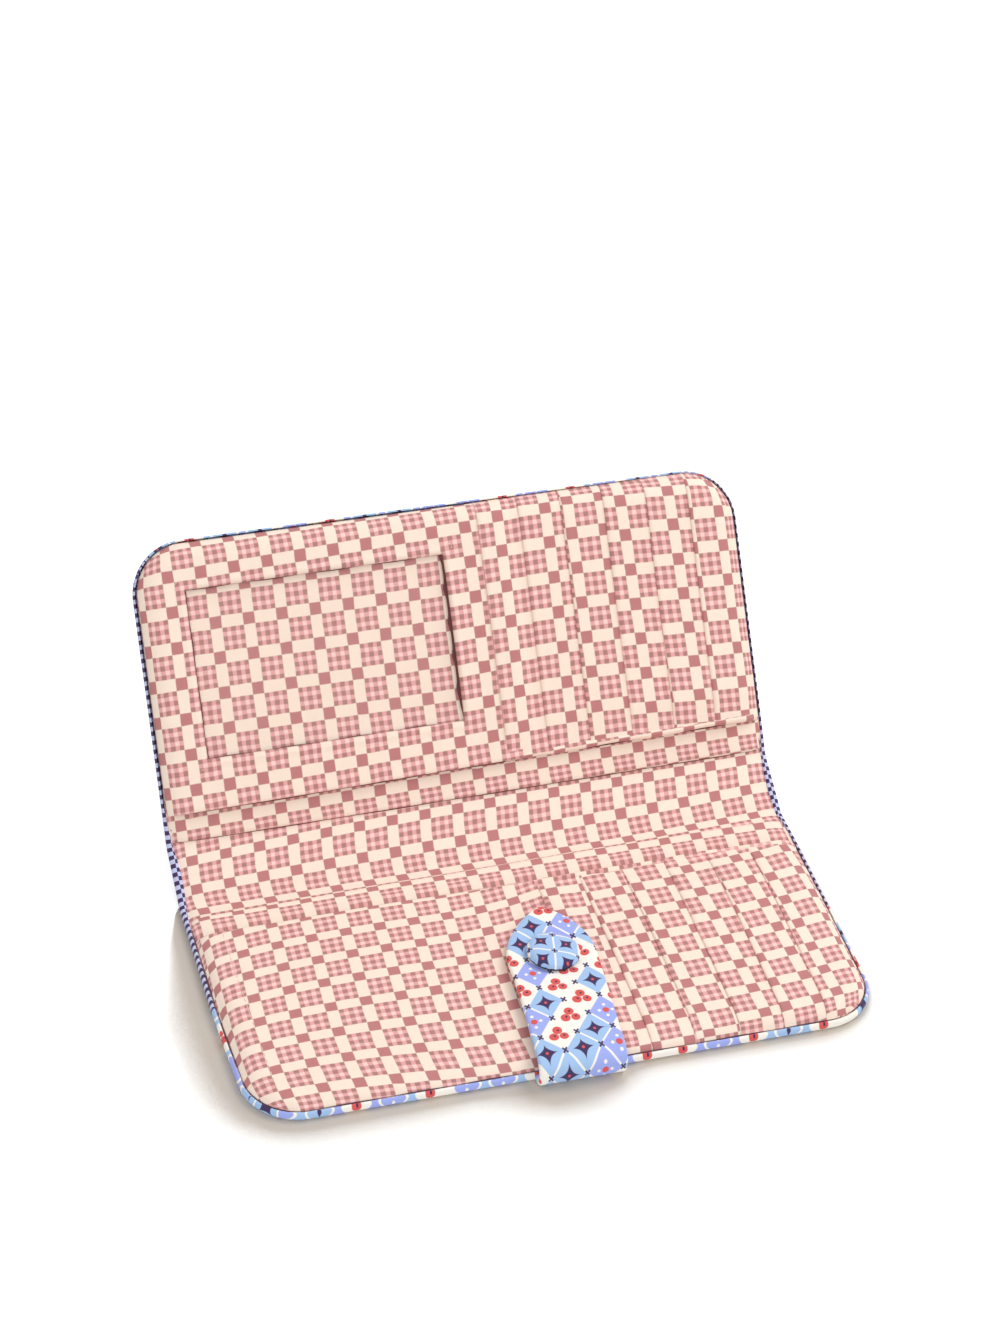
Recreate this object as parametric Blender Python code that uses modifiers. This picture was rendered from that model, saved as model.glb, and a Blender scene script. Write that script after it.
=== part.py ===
"""Tab wallet, open on a table: two fabric covers hinged on a narrow spine, with stepped
card slots, slip pockets, a framed ID window and a snap tab folded in over the front edge.

Metres, +Z up. X runs along the folds. The origin is the middle of the lower cover's
underside, on the table. Each cover is drawn in the frame of its own fold: s is the distance from the
fold towards the free edge, and heights are counted from the outside of the cover.
"""
import math

import bmesh
import bpy
from mathutils import Matrix

# Covers and folds
WIDTH = 0.1905                  # across the wallet, along the folds
COVER_DEPTH = 0.091             # fold to free edge, both covers
SPINE_DEPTH = 0.020             # fold to fold
CORNER_RADIUS = 0.0165
EDGE_ROUND = 0.0014             # roll of the outer fabric round the edge of a cover
FOLD_HEIGHT = 0.0013            # both fold lines above the outside of the covers
SPINE_SLOPE = math.radians(27.5)
COVER_TILT = math.radians(52.0)  # upper cover above the horizontal

# Layers, from the outside in
FIT = 0.00025                   # clearance between two layers
OUTER_CLOTH = 0.0006
PADDING = 0.0011
STIFFENER = 0.0004
LINING = 0.0004
POCKET_CLOTH = 0.0004
EDGE_WALL = 0.0034              # top of the turned-up outer fabric
POCKET_SETBACK = 0.0005         # pockets end inside the lining's edge
FOLD_BEAD = 0.00125             # radius of the rolled fabric along each fold
FOLD_CLEARANCE = 0.0003

# Pockets
UPPER_BILL_EDGE = 0.0024        # distances of the open edges from the fold
UPPER_PANEL_EDGE = 0.0106
LOWER_BILL_EDGE = 0.0055
LOWER_PANEL_EDGE = 0.0158
SLOT_COUNT = 6
SLOT_PITCH = 0.0134
SLOT_DEPTH = 0.0540
UPPER_FIRST_SLOT_X = 0.0120
LOWER_FIRST_SLOT_X = 0.0104
SLOT_TUCK = 0.0050              # the neighbour reaches this far under the first slot
SLOT_RAMP = 0.0060              # the first slot comes down to the panel over this length

# ID window
WINDOW_LEFT_X = -0.0799
WINDOW_WIDTH = 0.0800
WINDOW_BOTTOM = 0.0250          # distance of the opening from the fold
WINDOW_HEIGHT = 0.0508
WINDOW_CORNER = 0.0012
WINDOW_FRAME = 0.0005
FILM = 0.0002
FILM_MARGIN = 0.0050

# Tab
TAB_WIDTH = 0.0265
TAB_X = 0.0012                  # middle of the tab at the front edge
TAB_LEAN = math.radians(5.3)
TAB_TIP_REACH = 0.0610          # front edge to tip, along the tab
TAB_POINT_LENGTH = 0.0225       # length of the pointed end
TAB_POINT_ROUND = 0.0016        # small nose at the very tip
TAB_LINING = 0.0004
TAB_INTERFACING = 0.0008
TAB_CLOTH = 0.0006
TAB_TONGUE = 0.0100             # length sewn into the front seam
TAB_ROOT_ROUND = 0.0015
TAB_LIFT = 0.00025              # height of the root above the table

# Snap
SNAP_REACH = 0.0403             # front edge to snap, along the tab
CAP_RADIUS = 0.0080
CAP_HEIGHT = 0.0023
CAP_RIM = 0.0009
POST_RADIUS = 0.0015
POST_HOLE = 0.0018
POST_SEAT = 0.000025            # from the post's end to the mouth of its hole in the socket
SOCKET_RADIUS = 0.0060
SOCKET_HEIGHT = 0.0016
SOCKET_CAVITY = 0.0030
SOCKET_CAVITY_DEPTH = 0.00105
SOCKET_HOLE = 0.0063            # hole in the tab lining round the socket
STUD_KNOB = 0.0026
STUD_KNOB_NECK = 0.0022
STUD_KNOB_HEIGHT = 0.00095
STUD_FLANGE = 0.0050
STUD_FLANGE_HEIGHT = 0.0005
WASHER_RADIUS = 0.0042
WASHER_HEIGHT = 0.0005
WASHER_HOLE = 0.0046            # hole in the padding round the washer

ARC_STEPS = 10                  # straight pieces in a quarter turn of a corner
ROUND_STEPS = 32                # straight pieces in a full turned circle

# Heights of the layers in a cover
PADDING_LOW = OUTER_CLOTH + FIT
PADDING_TOP = PADDING_LOW + PADDING
STIFFENER_LOW = PADDING_TOP + FIT
STIFFENER_TOP = STIFFENER_LOW + STIFFENER
LINING_LOW = STIFFENER_TOP + FIT
LINING_TOP = LINING_LOW + LINING
BILL_LOW = LINING_TOP + FIT
BILL_TOP = BILL_LOW + POCKET_CLOTH
PANEL_LOW = BILL_TOP + FIT
PANEL_TOP = PANEL_LOW + POCKET_CLOTH
SLOT_LOW = PANEL_TOP + FIT
SLOT_STEP = POCKET_CLOTH + FIT
SLIP_TOP = SLOT_LOW + POCKET_CLOTH
TUCK_TOP = SLIP_TOP + SLOT_STEP
FILM_TOP = SLOT_LOW + FILM
FRAME_LOW = FILM_TOP + FIT
FRAME_TOP = FRAME_LOW + WINDOW_FRAME

# Places of the lower cover
LOWER_FOLD_Y = COVER_DEPTH / 2
FRONT_Y = LOWER_FOLD_Y - COVER_DEPTH

# Insets from the outside of a cover
LAYER_INSET = OUTER_CLOTH + FIT
PADDING_INSET = max(LAYER_INSET, EDGE_ROUND)
POCKET_INSET = LAYER_INSET + POCKET_SETBACK

# Where the layers of a cover stop short of its fold
BEAD_END = FOLD_BEAD + FOLD_CLEARANCE
LINING_END = LINING_TOP - FOLD_HEIGHT + FOLD_CLEARANCE
WALL_END = EDGE_WALL - FOLD_HEIGHT + FOLD_CLEARANCE

# Heights and lengths of the tab, counted from the middle of its thickness
TAB_HALF = (TAB_LINING + TAB_INTERFACING + TAB_CLOTH) / 2 + FIT
TAB_LINING_TOP = TAB_LINING - TAB_HALF
TAB_INTERFACING_LOW = TAB_LINING_TOP + FIT
TAB_INTERFACING_TOP = TAB_INTERFACING_LOW + TAB_INTERFACING
TAB_END = TAB_HALF + FOLD_CLEARANCE
SOCKET_TOP = TAB_INTERFACING_LOW - FIT
SOCKET_LOW = SOCKET_TOP - SOCKET_HEIGHT
TAB_FOLD_Y = FRONT_Y - FIT - TAB_HALF
TAB_FOLD_Z = TUCK_TOP + FIT - SOCKET_LOW
CLOSED_HEIGHT = SPINE_DEPTH + 2 * FOLD_HEIGHT
CLOSED_TAB_Z = CLOSED_HEIGHT + FIT + STUD_FLANGE_HEIGHT + FIT - SOCKET_LOW
NECK_LENGTH = CLOSED_TAB_Z - TAB_FOLD_Z
FRONT_TO_TAB_FOLD = FRONT_Y - TAB_FOLD_Y
FLAP_TIP = TAB_TIP_REACH + FRONT_TO_TAB_FOLD - NECK_LENGTH
FLAP_SNAP = SNAP_REACH + FRONT_TO_TAB_FOLD - NECK_LENGTH
LEAN = math.tan(TAB_LEAN)

# The stud lies where the socket comes to rest on the closed wallet
STUD_S = LOWER_FOLD_Y - (TAB_FOLD_Y + FLAP_SNAP)
STUD_X = TAB_X + LEAN * (NECK_LENGTH + FLAP_SNAP)

COLOURS = {
    # name: (red, green, blue, roughness, metallic)
    "print_cloth": (0.36, 0.45, 0.80, 0.85, 0.0),
    "print_trim": (0.30, 0.36, 0.72, 0.85, 0.0),
    "check_cloth": (0.78, 0.46, 0.40, 0.88, 0.0),
    "check_panel": (0.84, 0.55, 0.47, 0.88, 0.0),
    "check_strip": (0.80, 0.50, 0.44, 0.88, 0.0),
    "batting": (0.86, 0.85, 0.82, 0.95, 0.0),
    "board": (0.72, 0.71, 0.68, 0.80, 0.0),
    "film": (0.90, 0.90, 0.88, 0.12, 0.0),
    "nickel": (0.72, 0.71, 0.69, 0.28, 1.0),
}


def clear_scene():
    """Remove the objects that a new file brings."""
    for obj in list(bpy.data.objects):
        bpy.data.objects.remove(obj, do_unlink=True)


def new_collection(name):
    """A collection linked to the scene."""
    made = bpy.data.collections.new(name)
    bpy.context.scene.collection.children.link(made)
    return made


def finish_object(obj, colour, parent):
    """Give a sub-part its own material, its collection and its frame."""
    red, green, blue, roughness, metallic = COLOURS[colour]
    material = bpy.data.materials.new(obj.name + "_" + colour)
    material.use_nodes = True
    shader = material.node_tree.nodes["Principled BSDF"]
    shader.inputs["Base Color"].default_value = (red, green, blue, 1.0)
    shader.inputs["Roughness"].default_value = roughness
    shader.inputs["Metallic"].default_value = metallic
    obj.data.materials.append(material)
    obj.parent = parent
    PARTS.objects.link(obj)
    return obj


def frame_empty(name, location, turn, parent=None):
    """An empty on a fold line; everything on that piece hangs from it."""
    empty = bpy.data.objects.new(name, None)
    empty.location = location
    empty.rotation_euler = (turn, 0.0, 0.0)
    empty.parent = parent
    PARTS.objects.link(empty)
    return empty


def arc(centre_x, centre_y, radius, start, end, steps=ARC_STEPS):
    """Points of an arc, both ends included; angles in degrees."""
    points = []
    for step in range(steps + 1):
        angle = math.radians(start + (end - start) * step / steps)
        points.append((centre_x + radius * math.cos(angle), centre_y + radius * math.sin(angle)))
    return points


def flat_curve(name, loops, thickness):
    """A filled 2D curve of closed outlines; an outline inside another is a hole."""
    curve = bpy.data.curves.new(name, "CURVE")
    curve.dimensions = "2D"
    curve.fill_mode = "BOTH"
    curve.extrude = thickness / 2
    for loop in loops:
        spline = curve.splines.new("POLY")
        spline.points.add(len(loop) - 1)
        for point, (x, y) in zip(spline.points, loop):
            point.co = (x, y, 0.0, 1.0)
        spline.use_cyclic_u = True
    return bpy.data.objects.new(name, curve)


def sheet(name, loops, low, top, colour, parent):
    """A flat layer between two heights."""
    obj = flat_curve(name, loops, top - low)
    obj.location = (0.0, 0.0, (low + top) / 2 - FOLD_HEIGHT)
    return finish_object(obj, colour, parent)


def as_mesh(obj, transform=None):
    """A curve object made a closed mesh object of the same name."""
    bpy.context.scene.collection.objects.link(obj)
    depsgraph = bpy.context.evaluated_depsgraph_get()
    mesh = bpy.data.meshes.new_from_object(obj.evaluated_get(depsgraph))
    name = obj.name
    place = obj.matrix_world.copy()
    bpy.data.objects.remove(obj, do_unlink=True)
    mesh.name = name
    if transform is not None:
        mesh.transform(transform)
    weld = bmesh.new()
    weld.from_mesh(mesh)
    bmesh.ops.remove_doubles(weld, verts=weld.verts, dist=1e-7)
    bmesh.ops.recalc_face_normals(weld, faces=weld.faces)
    weld.to_mesh(mesh)
    weld.free()
    solid = bpy.data.objects.new(name, mesh)
    solid.matrix_world = place
    return solid


def prism(name, loop, low, top):
    """A solid with a given outline between two heights of a cover."""
    obj = flat_curve(name, [loop], top - low)
    lift = Matrix.Translation((0.0, 0.0, (low + top) / 2 - FOLD_HEIGHT))
    return as_mesh(obj, lift)


def round_low_edges(obj, radius, is_rounded):
    """Roll the lowest edges of a solid that a test on their middle picks out."""
    shape = bmesh.new()
    shape.from_mesh(obj.data)
    bmesh.ops.dissolve_limit(shape, angle_limit=math.radians(0.5), verts=shape.verts,
                             edges=shape.edges)
    lowest = min(vert.co.z for vert in shape.verts)
    picked = []
    for edge in shape.edges:
        middle = (edge.verts[0].co + edge.verts[1].co) / 2
        level = abs(edge.verts[0].co.z - lowest) + abs(edge.verts[1].co.z - lowest) < 1e-6
        if level and is_rounded(middle):
            picked.append(edge)
    bmesh.ops.bevel(shape, geom=picked, offset=radius, offset_type="OFFSET", segments=3,
                    profile=0.5, affect="EDGES")
    shape.to_mesh(obj.data)
    shape.free()


def use_cutter(obj, cutter, operation, parent):
    """Cut or join a solid with a helper solid that isn't a sub-part itself."""
    cutter.parent = parent
    cutter.hide_render = True
    cutter.display_type = "WIRE"
    CUTTERS.objects.link(cutter)
    boolean = obj.modifiers.new(cutter.name, "BOOLEAN")
    boolean.operation = operation
    boolean.solver = "EXACT"
    boolean.object = cutter


def box(name, corner_a, corner_b):
    """A box between two corners in the frame of its parent."""
    mesh = bpy.data.meshes.new(name)
    shape = bmesh.new()
    bmesh.ops.create_cube(shape, size=1.0)
    size = [abs(b - a) for a, b in zip(corner_a, corner_b)]
    middle = [(a + b) / 2 for a, b in zip(corner_a, corner_b)]
    bmesh.ops.scale(shape, vec=size, verts=shape.verts)
    bmesh.ops.translate(shape, vec=middle, verts=shape.verts)
    shape.to_mesh(mesh)
    shape.free()
    return bpy.data.objects.new(name, mesh)


def rod(name, radius, length, steps=ROUND_STEPS):
    """A round rod along X about the origin of its parent."""
    mesh = bpy.data.meshes.new(name)
    shape = bmesh.new()
    turn = Matrix.Rotation(math.radians(90.0), 4, "Y")
    bmesh.ops.create_cone(shape, cap_ends=True, segments=steps, radius1=radius, radius2=radius,
                          depth=length, matrix=turn)
    shape.to_mesh(mesh)
    shape.free()
    return bpy.data.objects.new(name, mesh)


def pin(name, radius, low, top, x, y):
    """An upright round cutter."""
    mesh = bpy.data.meshes.new(name)
    shape = bmesh.new()
    bmesh.ops.create_cone(shape, cap_ends=True, segments=ROUND_STEPS, radius1=radius,
                          radius2=radius, depth=top - low,
                          matrix=Matrix.Translation((x, y, (low + top) / 2)))
    shape.to_mesh(mesh)
    shape.free()
    return bpy.data.objects.new(name, mesh)


def turned(name, profile, colour, parent, closed=False):
    """A turned piece: a profile of (radius, height) points screwed about Z."""
    mesh = bpy.data.meshes.new(name)
    edges = [(i, i + 1) for i in range(len(profile) - 1)]
    if closed:
        edges.append((len(profile) - 1, 0))
    mesh.from_pydata([(radius, 0.0, height) for radius, height in profile], edges, [])
    obj = bpy.data.objects.new(name, mesh)
    screw = obj.modifiers.new("turn", "SCREW")
    screw.axis = "Z"
    screw.steps = ROUND_STEPS
    screw.render_steps = ROUND_STEPS
    screw.use_merge_vertices = True
    screw.merge_threshold = 1e-6
    screw.use_smooth_shade = True
    return finish_object(obj, colour, parent)


def cover_outline(side, inset, start):
    """Outline of a cover layer: two round corners at the free edge, square at the fold."""
    half = WIDTH / 2 - inset
    depth = COVER_DEPTH - inset
    radius = CORNER_RADIUS - inset
    points = [(-half, start)]
    points += arc(-half + radius, depth - radius, radius, 180.0, 90.0)
    points += arc(half - radius, depth - radius, radius, 90.0, 0.0)
    points.append((half, start))
    return [(x, side * s) for x, s in points]


def rectangle(left, right, low, high):
    """Outline of a plain rectangle."""
    return [(left, low), (left, high), (right, high), (right, low)]


def rounded_rectangle(left, right, low, high, radius):
    """Outline of a rectangle with four round corners."""
    points = arc(left + radius, low + radius, radius, 180.0, 270.0, 4)
    points += arc(right - radius, low + radius, radius, 270.0, 360.0, 4)
    points += arc(right - radius, high - radius, radius, 0.0, 90.0, 4)
    points += arc(left + radius, high - radius, radius, 90.0, 180.0, 4)
    return points


def circle(x, y, radius):
    """Outline of a round hole."""
    return arc(x, y, radius, 0.0, 360.0, ROUND_STEPS)[:-1]


def outer_cover(name, side, parent):
    """The printed outer fabric: a shallow tray whose edge is turned up round the layers."""
    def is_free_edge(middle):
        return abs(middle.y) > BEAD_END + 1e-5

    body = prism(name, cover_outline(side, 0.0, BEAD_END), 0.0, EDGE_WALL)
    round_low_edges(body, EDGE_ROUND, is_free_edge)
    hollow = prism(name + "_hollow", cover_outline(side, OUTER_CLOTH, -COVER_DEPTH / 2),
                   OUTER_CLOTH, 2 * EDGE_WALL)
    round_low_edges(hollow, EDGE_ROUND - OUTER_CLOTH, is_free_edge)
    use_cutter(body, hollow, "DIFFERENCE", parent)
    relief = box(name + "_fold_relief",
                 (-WIDTH, -side * WALL_END, OUTER_CLOTH - FOLD_HEIGHT),
                 (WIDTH, side * WALL_END, 2 * EDGE_WALL))
    use_cutter(body, relief, "DIFFERENCE", parent)
    return finish_object(body, "print_cloth", parent)


def slot_left(first_x, index):
    """The open edge of a card slot."""
    return first_x + index * SLOT_PITCH


def slot_rise(index, x, first_x, neighbour_top):
    """Height of a slot's underside above the panel.

    Each slot lies on those before it, one step higher, and sinks back to the panel past
    the depth of the first slot, where the ones below it end. The first slot starts on top
    of its neighbour and comes down to the panel.
    """
    sink = SLOT_STEP * max(0.0, x - first_x - SLOT_DEPTH) / SLOT_PITCH
    rise = index * SLOT_STEP - sink
    if index == 0:
        ramp_start = first_x + SLOT_TUCK + FIT
        share = min(1.0, max(0.0, (ramp_start + SLOT_RAMP - x) / SLOT_RAMP))
        rise = share * (neighbour_top + FIT - SLOT_LOW)
    return max(0.0, rise)


def card_slot(prefix, side, parent, index, first_x, start, neighbour_top):
    """One card slot: a strip that follows the slots beneath it, cut to the cover's corner."""
    left = slot_left(first_x, index)
    right = min(left + SLOT_DEPTH, WIDTH / 2)
    knees = {left, right}
    marks = [first_x + SLOT_DEPTH + step * SLOT_PITCH for step in range(SLOT_COUNT)]
    if index == 0:
        marks += [first_x + SLOT_TUCK + FIT, first_x + SLOT_TUCK + FIT + SLOT_RAMP]
    knees.update(mark for mark in marks if left < mark < right)
    columns = sorted(knees)
    shape = bmesh.new()
    rows = []
    for s in (start, COVER_DEPTH):
        row = []
        for x in columns:
            height = SLOT_LOW + slot_rise(index, x, first_x, neighbour_top) - FOLD_HEIGHT
            row.append(shape.verts.new((x, side * s, height)))
        rows.append(row)
    for step in range(len(columns) - 1):
        corners = [rows[0][step], rows[0][step + 1], rows[1][step + 1], rows[1][step]]
        shape.faces.new(corners if side > 0 else corners[::-1])
    name = "%s_card_slot_%d" % (prefix, index + 1)
    mesh = bpy.data.meshes.new(name)
    shape.to_mesh(mesh)
    shape.free()
    strip = bpy.data.objects.new(name, mesh)
    solidify = strip.modifiers.new("cloth", "SOLIDIFY")
    solidify.thickness = POCKET_CLOTH
    solidify.offset = 1.0
    border = prism(name + "_border", cover_outline(side, POCKET_INSET, start / 2),
                   PANEL_TOP, SLOT_LOW + (SLOT_COUNT + 2) * SLOT_STEP)
    use_cutter(strip, border, "INTERSECT", parent)
    return finish_object(strip, "check_strip" if index % 2 else "check_panel", parent)


def cover_layers(prefix, side, parent, bill_edge, panel_edge, stud_hole=None):
    """The layers that both covers share, from the padding to the pocket panel."""
    padding_loops = [cover_outline(side, PADDING_INSET, BEAD_END)]
    if stud_hole is not None:
        padding_loops.append(circle(stud_hole[0], side * stud_hole[1], WASHER_HOLE))
    sheet(prefix + "_padding", padding_loops, PADDING_LOW, PADDING_TOP, "batting", parent)
    sheet(prefix + "_stiffener", [cover_outline(side, LAYER_INSET, BEAD_END)],
          STIFFENER_LOW, STIFFENER_TOP, "board", parent)
    sheet(prefix + "_lining", [cover_outline(side, LAYER_INSET, LINING_END)],
          LINING_LOW, LINING_TOP, "check_cloth", parent)
    sheet(prefix + "_bill_pocket", [cover_outline(side, POCKET_INSET, bill_edge)],
          BILL_LOW, BILL_TOP, "check_panel", parent)
    sheet(prefix + "_pocket_panel", [cover_outline(side, POCKET_INSET, panel_edge)],
          PANEL_LOW, PANEL_TOP, "check_cloth", parent)


def corner_panel(side, start, right):
    """Outline of the panel left of the card slots: one round corner, square elsewhere."""
    half = WIDTH / 2 - POCKET_INSET
    depth = COVER_DEPTH - POCKET_INSET
    radius = CORNER_RADIUS - POCKET_INSET
    points = [(-half, start)]
    points += arc(-half + radius, depth - radius, radius, 180.0, 90.0)
    points += [(right, depth), (right, start)]
    return [(x, side * s) for x, s in points]


def build_lower_cover(frame):
    """The cover that lies on the table, with the slip pocket and six card slots."""
    cover = outer_cover("lower_outer_cover", -1, frame)
    tongue = tongue_outline(FIT)
    seam = box("tab_seam", (tongue[0], -COVER_DEPTH - TAB_TONGUE, OUTER_CLOTH - FOLD_HEIGHT),
               (tongue[1], -COVER_DEPTH + 2 * OUTER_CLOTH, PADDING_TOP + FIT - FOLD_HEIGHT))
    use_cutter(cover, seam, "DIFFERENCE", frame)
    cover_layers("lower", -1, frame, LOWER_BILL_EDGE, LOWER_PANEL_EDGE)
    notch_padding(frame)
    sheet("lower_slip_pocket",
          [corner_panel(-1, LOWER_PANEL_EDGE, LOWER_FIRST_SLOT_X + SLOT_TUCK)],
          SLOT_LOW, SLIP_TOP, "check_panel", frame)
    for index in range(SLOT_COUNT):
        card_slot("lower", -1, frame, index, LOWER_FIRST_SLOT_X, LOWER_PANEL_EDGE, SLIP_TOP)


def tongue_outline(clearance):
    """Left and right of the tab where it enters the front seam."""
    return (TAB_X - TAB_WIDTH / 2 - clearance, TAB_X + TAB_WIDTH / 2 + clearance)


def notch_padding(frame):
    """Make room in the lower padding for the tab's tongue."""
    padding = bpy.data.objects["lower_padding"]
    left, right = tongue_outline(FIT)
    half = WIDTH / 2 - PADDING_INSET
    depth = COVER_DEPTH - PADDING_INSET
    radius = CORNER_RADIUS - PADDING_INSET
    inner = COVER_DEPTH - TAB_TONGUE
    points = [(-half, BEAD_END)]
    points += arc(-half + radius, depth - radius, radius, 180.0, 90.0)
    points += [(left, depth), (left, inner), (right, inner), (right, depth)]
    points += arc(half - radius, depth - radius, radius, 90.0, 0.0)
    points.append((half, BEAD_END))
    padding.data.splines.clear()
    spline = padding.data.splines.new("POLY")
    spline.points.add(len(points) - 1)
    for point, (x, s) in zip(spline.points, points):
        point.co = (x, -s, 0.0, 1.0)
    spline.use_cyclic_u = True


def build_spine(frame):
    """The narrow panel between the folds, with a roll of fabric along each of them."""
    def is_end(middle):
        return abs(middle.x) > WIDTH / 2 - 1e-5

    name = "spine_outer"
    body = prism(name, rectangle(-WIDTH / 2, WIDTH / 2, 0.0, SPINE_DEPTH), 0.0, EDGE_WALL)
    round_low_edges(body, EDGE_ROUND, is_end)
    inner = WIDTH / 2 - OUTER_CLOTH
    hollow = prism(name + "_hollow",
                   rectangle(-inner, inner, -SPINE_DEPTH, 2 * SPINE_DEPTH),
                   OUTER_CLOTH, 2 * EDGE_WALL)
    use_cutter(body, hollow, "DIFFERENCE", frame)
    low = OUTER_CLOTH - FOLD_HEIGHT
    for label, near, far in (("lower", -SPINE_DEPTH, WALL_END),
                             ("upper", SPINE_DEPTH - WALL_END, 2 * SPINE_DEPTH)):
        relief = box("%s_%s_relief" % (name, label), (-WIDTH, near, low), (WIDTH, far, 2 * EDGE_WALL))
        use_cutter(body, relief, "DIFFERENCE", frame)
    for label, place in (("lower", 0.0), ("upper", SPINE_DEPTH)):
        bead = rod("%s_%s_bead" % (name, label), FOLD_BEAD, WIDTH - 2 * EDGE_ROUND)
        bead.location = (0.0, place, 0.0)
        use_cutter(body, bead, "UNION", frame)
    finish_object(body, "print_cloth", frame)
    padded = WIDTH / 2 - PADDING_INSET
    half = WIDTH / 2 - LAYER_INSET
    sheet("spine_padding", [rectangle(-padded, padded, BEAD_END, SPINE_DEPTH - BEAD_END)],
          PADDING_LOW, STIFFENER_TOP, "batting", frame)
    sheet("spine_lining", [rectangle(-half, half, LINING_END, SPINE_DEPTH - LINING_END)],
          LINING_LOW, LINING_TOP, "check_cloth", frame)


def build_upper_cover(frame):
    """The cover that stands up, with the ID window, six card slots and the stud outside."""
    cover = outer_cover("upper_outer_cover", 1, frame)
    hole = pin("stud_hole", POST_HOLE, -4 * FOLD_HEIGHT, 4 * FOLD_HEIGHT, STUD_X, STUD_S)
    use_cutter(cover, hole, "DIFFERENCE", frame)
    cover_layers("upper", 1, frame, UPPER_BILL_EDGE, UPPER_PANEL_EDGE, (STUD_X, STUD_S))
    right = WINDOW_LEFT_X + WINDOW_WIDTH
    top = WINDOW_BOTTOM + WINDOW_HEIGHT
    film = rectangle(WINDOW_LEFT_X - FILM_MARGIN, right + FILM_MARGIN,
                     WINDOW_BOTTOM - FILM_MARGIN, top + FILM_MARGIN)
    sheet("id_window_film", [film], SLOT_LOW, FILM_TOP, "film", frame)
    panel = corner_panel(1, UPPER_PANEL_EDGE, UPPER_FIRST_SLOT_X + SLOT_TUCK)
    opening = rounded_rectangle(WINDOW_LEFT_X, right, WINDOW_BOTTOM, top, WINDOW_CORNER)
    sheet("id_window_frame", [panel, opening], FRAME_LOW, FRAME_TOP, "check_panel", frame)
    for index in range(SLOT_COUNT):
        card_slot("upper", 1, frame, index, UPPER_FIRST_SLOT_X, UPPER_PANEL_EDGE, FRAME_TOP)
    build_stud(frame)


def build_stud(frame):
    """The snap's stud on the outside of the upper cover, and the washer inside it."""
    place = frame_empty("stud_place", (STUD_X, STUD_S, -FOLD_HEIGHT), 0.0, frame)
    flange_low = -FIT - STUD_FLANGE_HEIGHT
    knob_low = flange_low - STUD_KNOB_HEIGHT
    washer_top = PADDING_LOW + WASHER_HEIGHT
    knob_round = STUD_KNOB_HEIGHT / 3
    profile = [(0.0, washer_top), (POST_RADIUS, washer_top), (POST_RADIUS, -FIT),
               (STUD_FLANGE, -FIT), (STUD_FLANGE, flange_low), (STUD_KNOB_NECK, flange_low),
               (STUD_KNOB, knob_low + 2 * knob_round), (STUD_KNOB, knob_low + knob_round),
               (STUD_KNOB - knob_round, knob_low), (0.0, knob_low)]
    turned("snap_stud", profile, "nickel", place)
    ring = [(WASHER_RADIUS, washer_top), (WASHER_RADIUS, PADDING_LOW),
            (POST_HOLE, PADDING_LOW), (POST_HOLE, washer_top)]
    turned("snap_stud_washer", ring, "nickel", place, closed=True)


def side_solid(name, loop, x_middle, width, transform=None):
    """A profile in Y and Z carried along X."""
    obj = flat_curve(name, [loop], width)
    turn = Matrix.Rotation(math.radians(90.0), 4, "Z") @ Matrix.Rotation(math.radians(90.0), 4, "X")
    place = Matrix.Translation((x_middle, 0.0, 0.0)) @ turn
    if transform is not None:
        place = transform @ place
    return as_mesh(obj, place)


def build_tab_root():
    """The end of the tab that is sewn into the front seam and comes up round the edge."""
    back = FRONT_Y - FIT
    front = back - 2 * TAB_HALF
    top = TAB_FOLD_Z - TAB_END
    tongue_end = FRONT_Y - FIT + TAB_TONGUE
    loop = [(tongue_end, PADDING_LOW), (tongue_end, PADDING_TOP), (back, PADDING_TOP),
            (back, top), (front, top)]
    loop += arc(front + TAB_ROOT_ROUND, TAB_LIFT + TAB_ROOT_ROUND, TAB_ROOT_ROUND, 180.0, 270.0, 6)
    loop += [(back, TAB_LIFT), (back, PADDING_LOW)]
    root = side_solid("tab_root", loop, TAB_X, TAB_WIDTH)
    finish_object(root, "print_cloth", None)


def lean_shear():
    """A sideways lean that grows along the tab."""
    shear = Matrix.Identity(4)
    shear[0][1] = LEAN
    return shear


def build_tab_neck(frame):
    """The stretch between the two folds of the tab, with a round nose on each fold."""
    loop = arc(0.0, 0.0, TAB_HALF, 90.0, 270.0, 12)
    loop += arc(NECK_LENGTH, 0.0, TAB_HALF, 270.0, 450.0, 12)
    neck = side_solid("tab_neck", loop, 0.0, TAB_WIDTH, lean_shear())
    finish_object(neck, "print_cloth", frame)


def flap_outline(inset, start):
    """Outline of the flap: straight sides, then two arcs that meet in a small round nose."""
    half = TAB_WIDTH / 2
    radius = (half ** 2 + TAB_POINT_LENGTH ** 2) / (2 * half)
    spring = FLAP_TIP - TAB_POINT_LENGTH
    nose = TAB_POINT_ROUND
    centre_x = half - radius
    reach = radius - nose
    nose_s = spring + math.sqrt(reach ** 2 - centre_x ** 2)
    swing = math.degrees(math.atan2(nose_s - spring, -centre_x))
    right = arc(centre_x, spring, radius - inset, 0.0, swing, 12)
    nose_arc = arc(0.0, nose_s, nose - inset, swing, 180.0 - swing, 4)
    left = arc(-centre_x, spring, radius - inset, 180.0 - swing, 180.0, 12)
    points = [(half - inset, start)] + right + nose_arc[1:-1] + left + [(inset - half, start)]
    return [(x + LEAN * s, s) for x, s in points]


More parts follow.
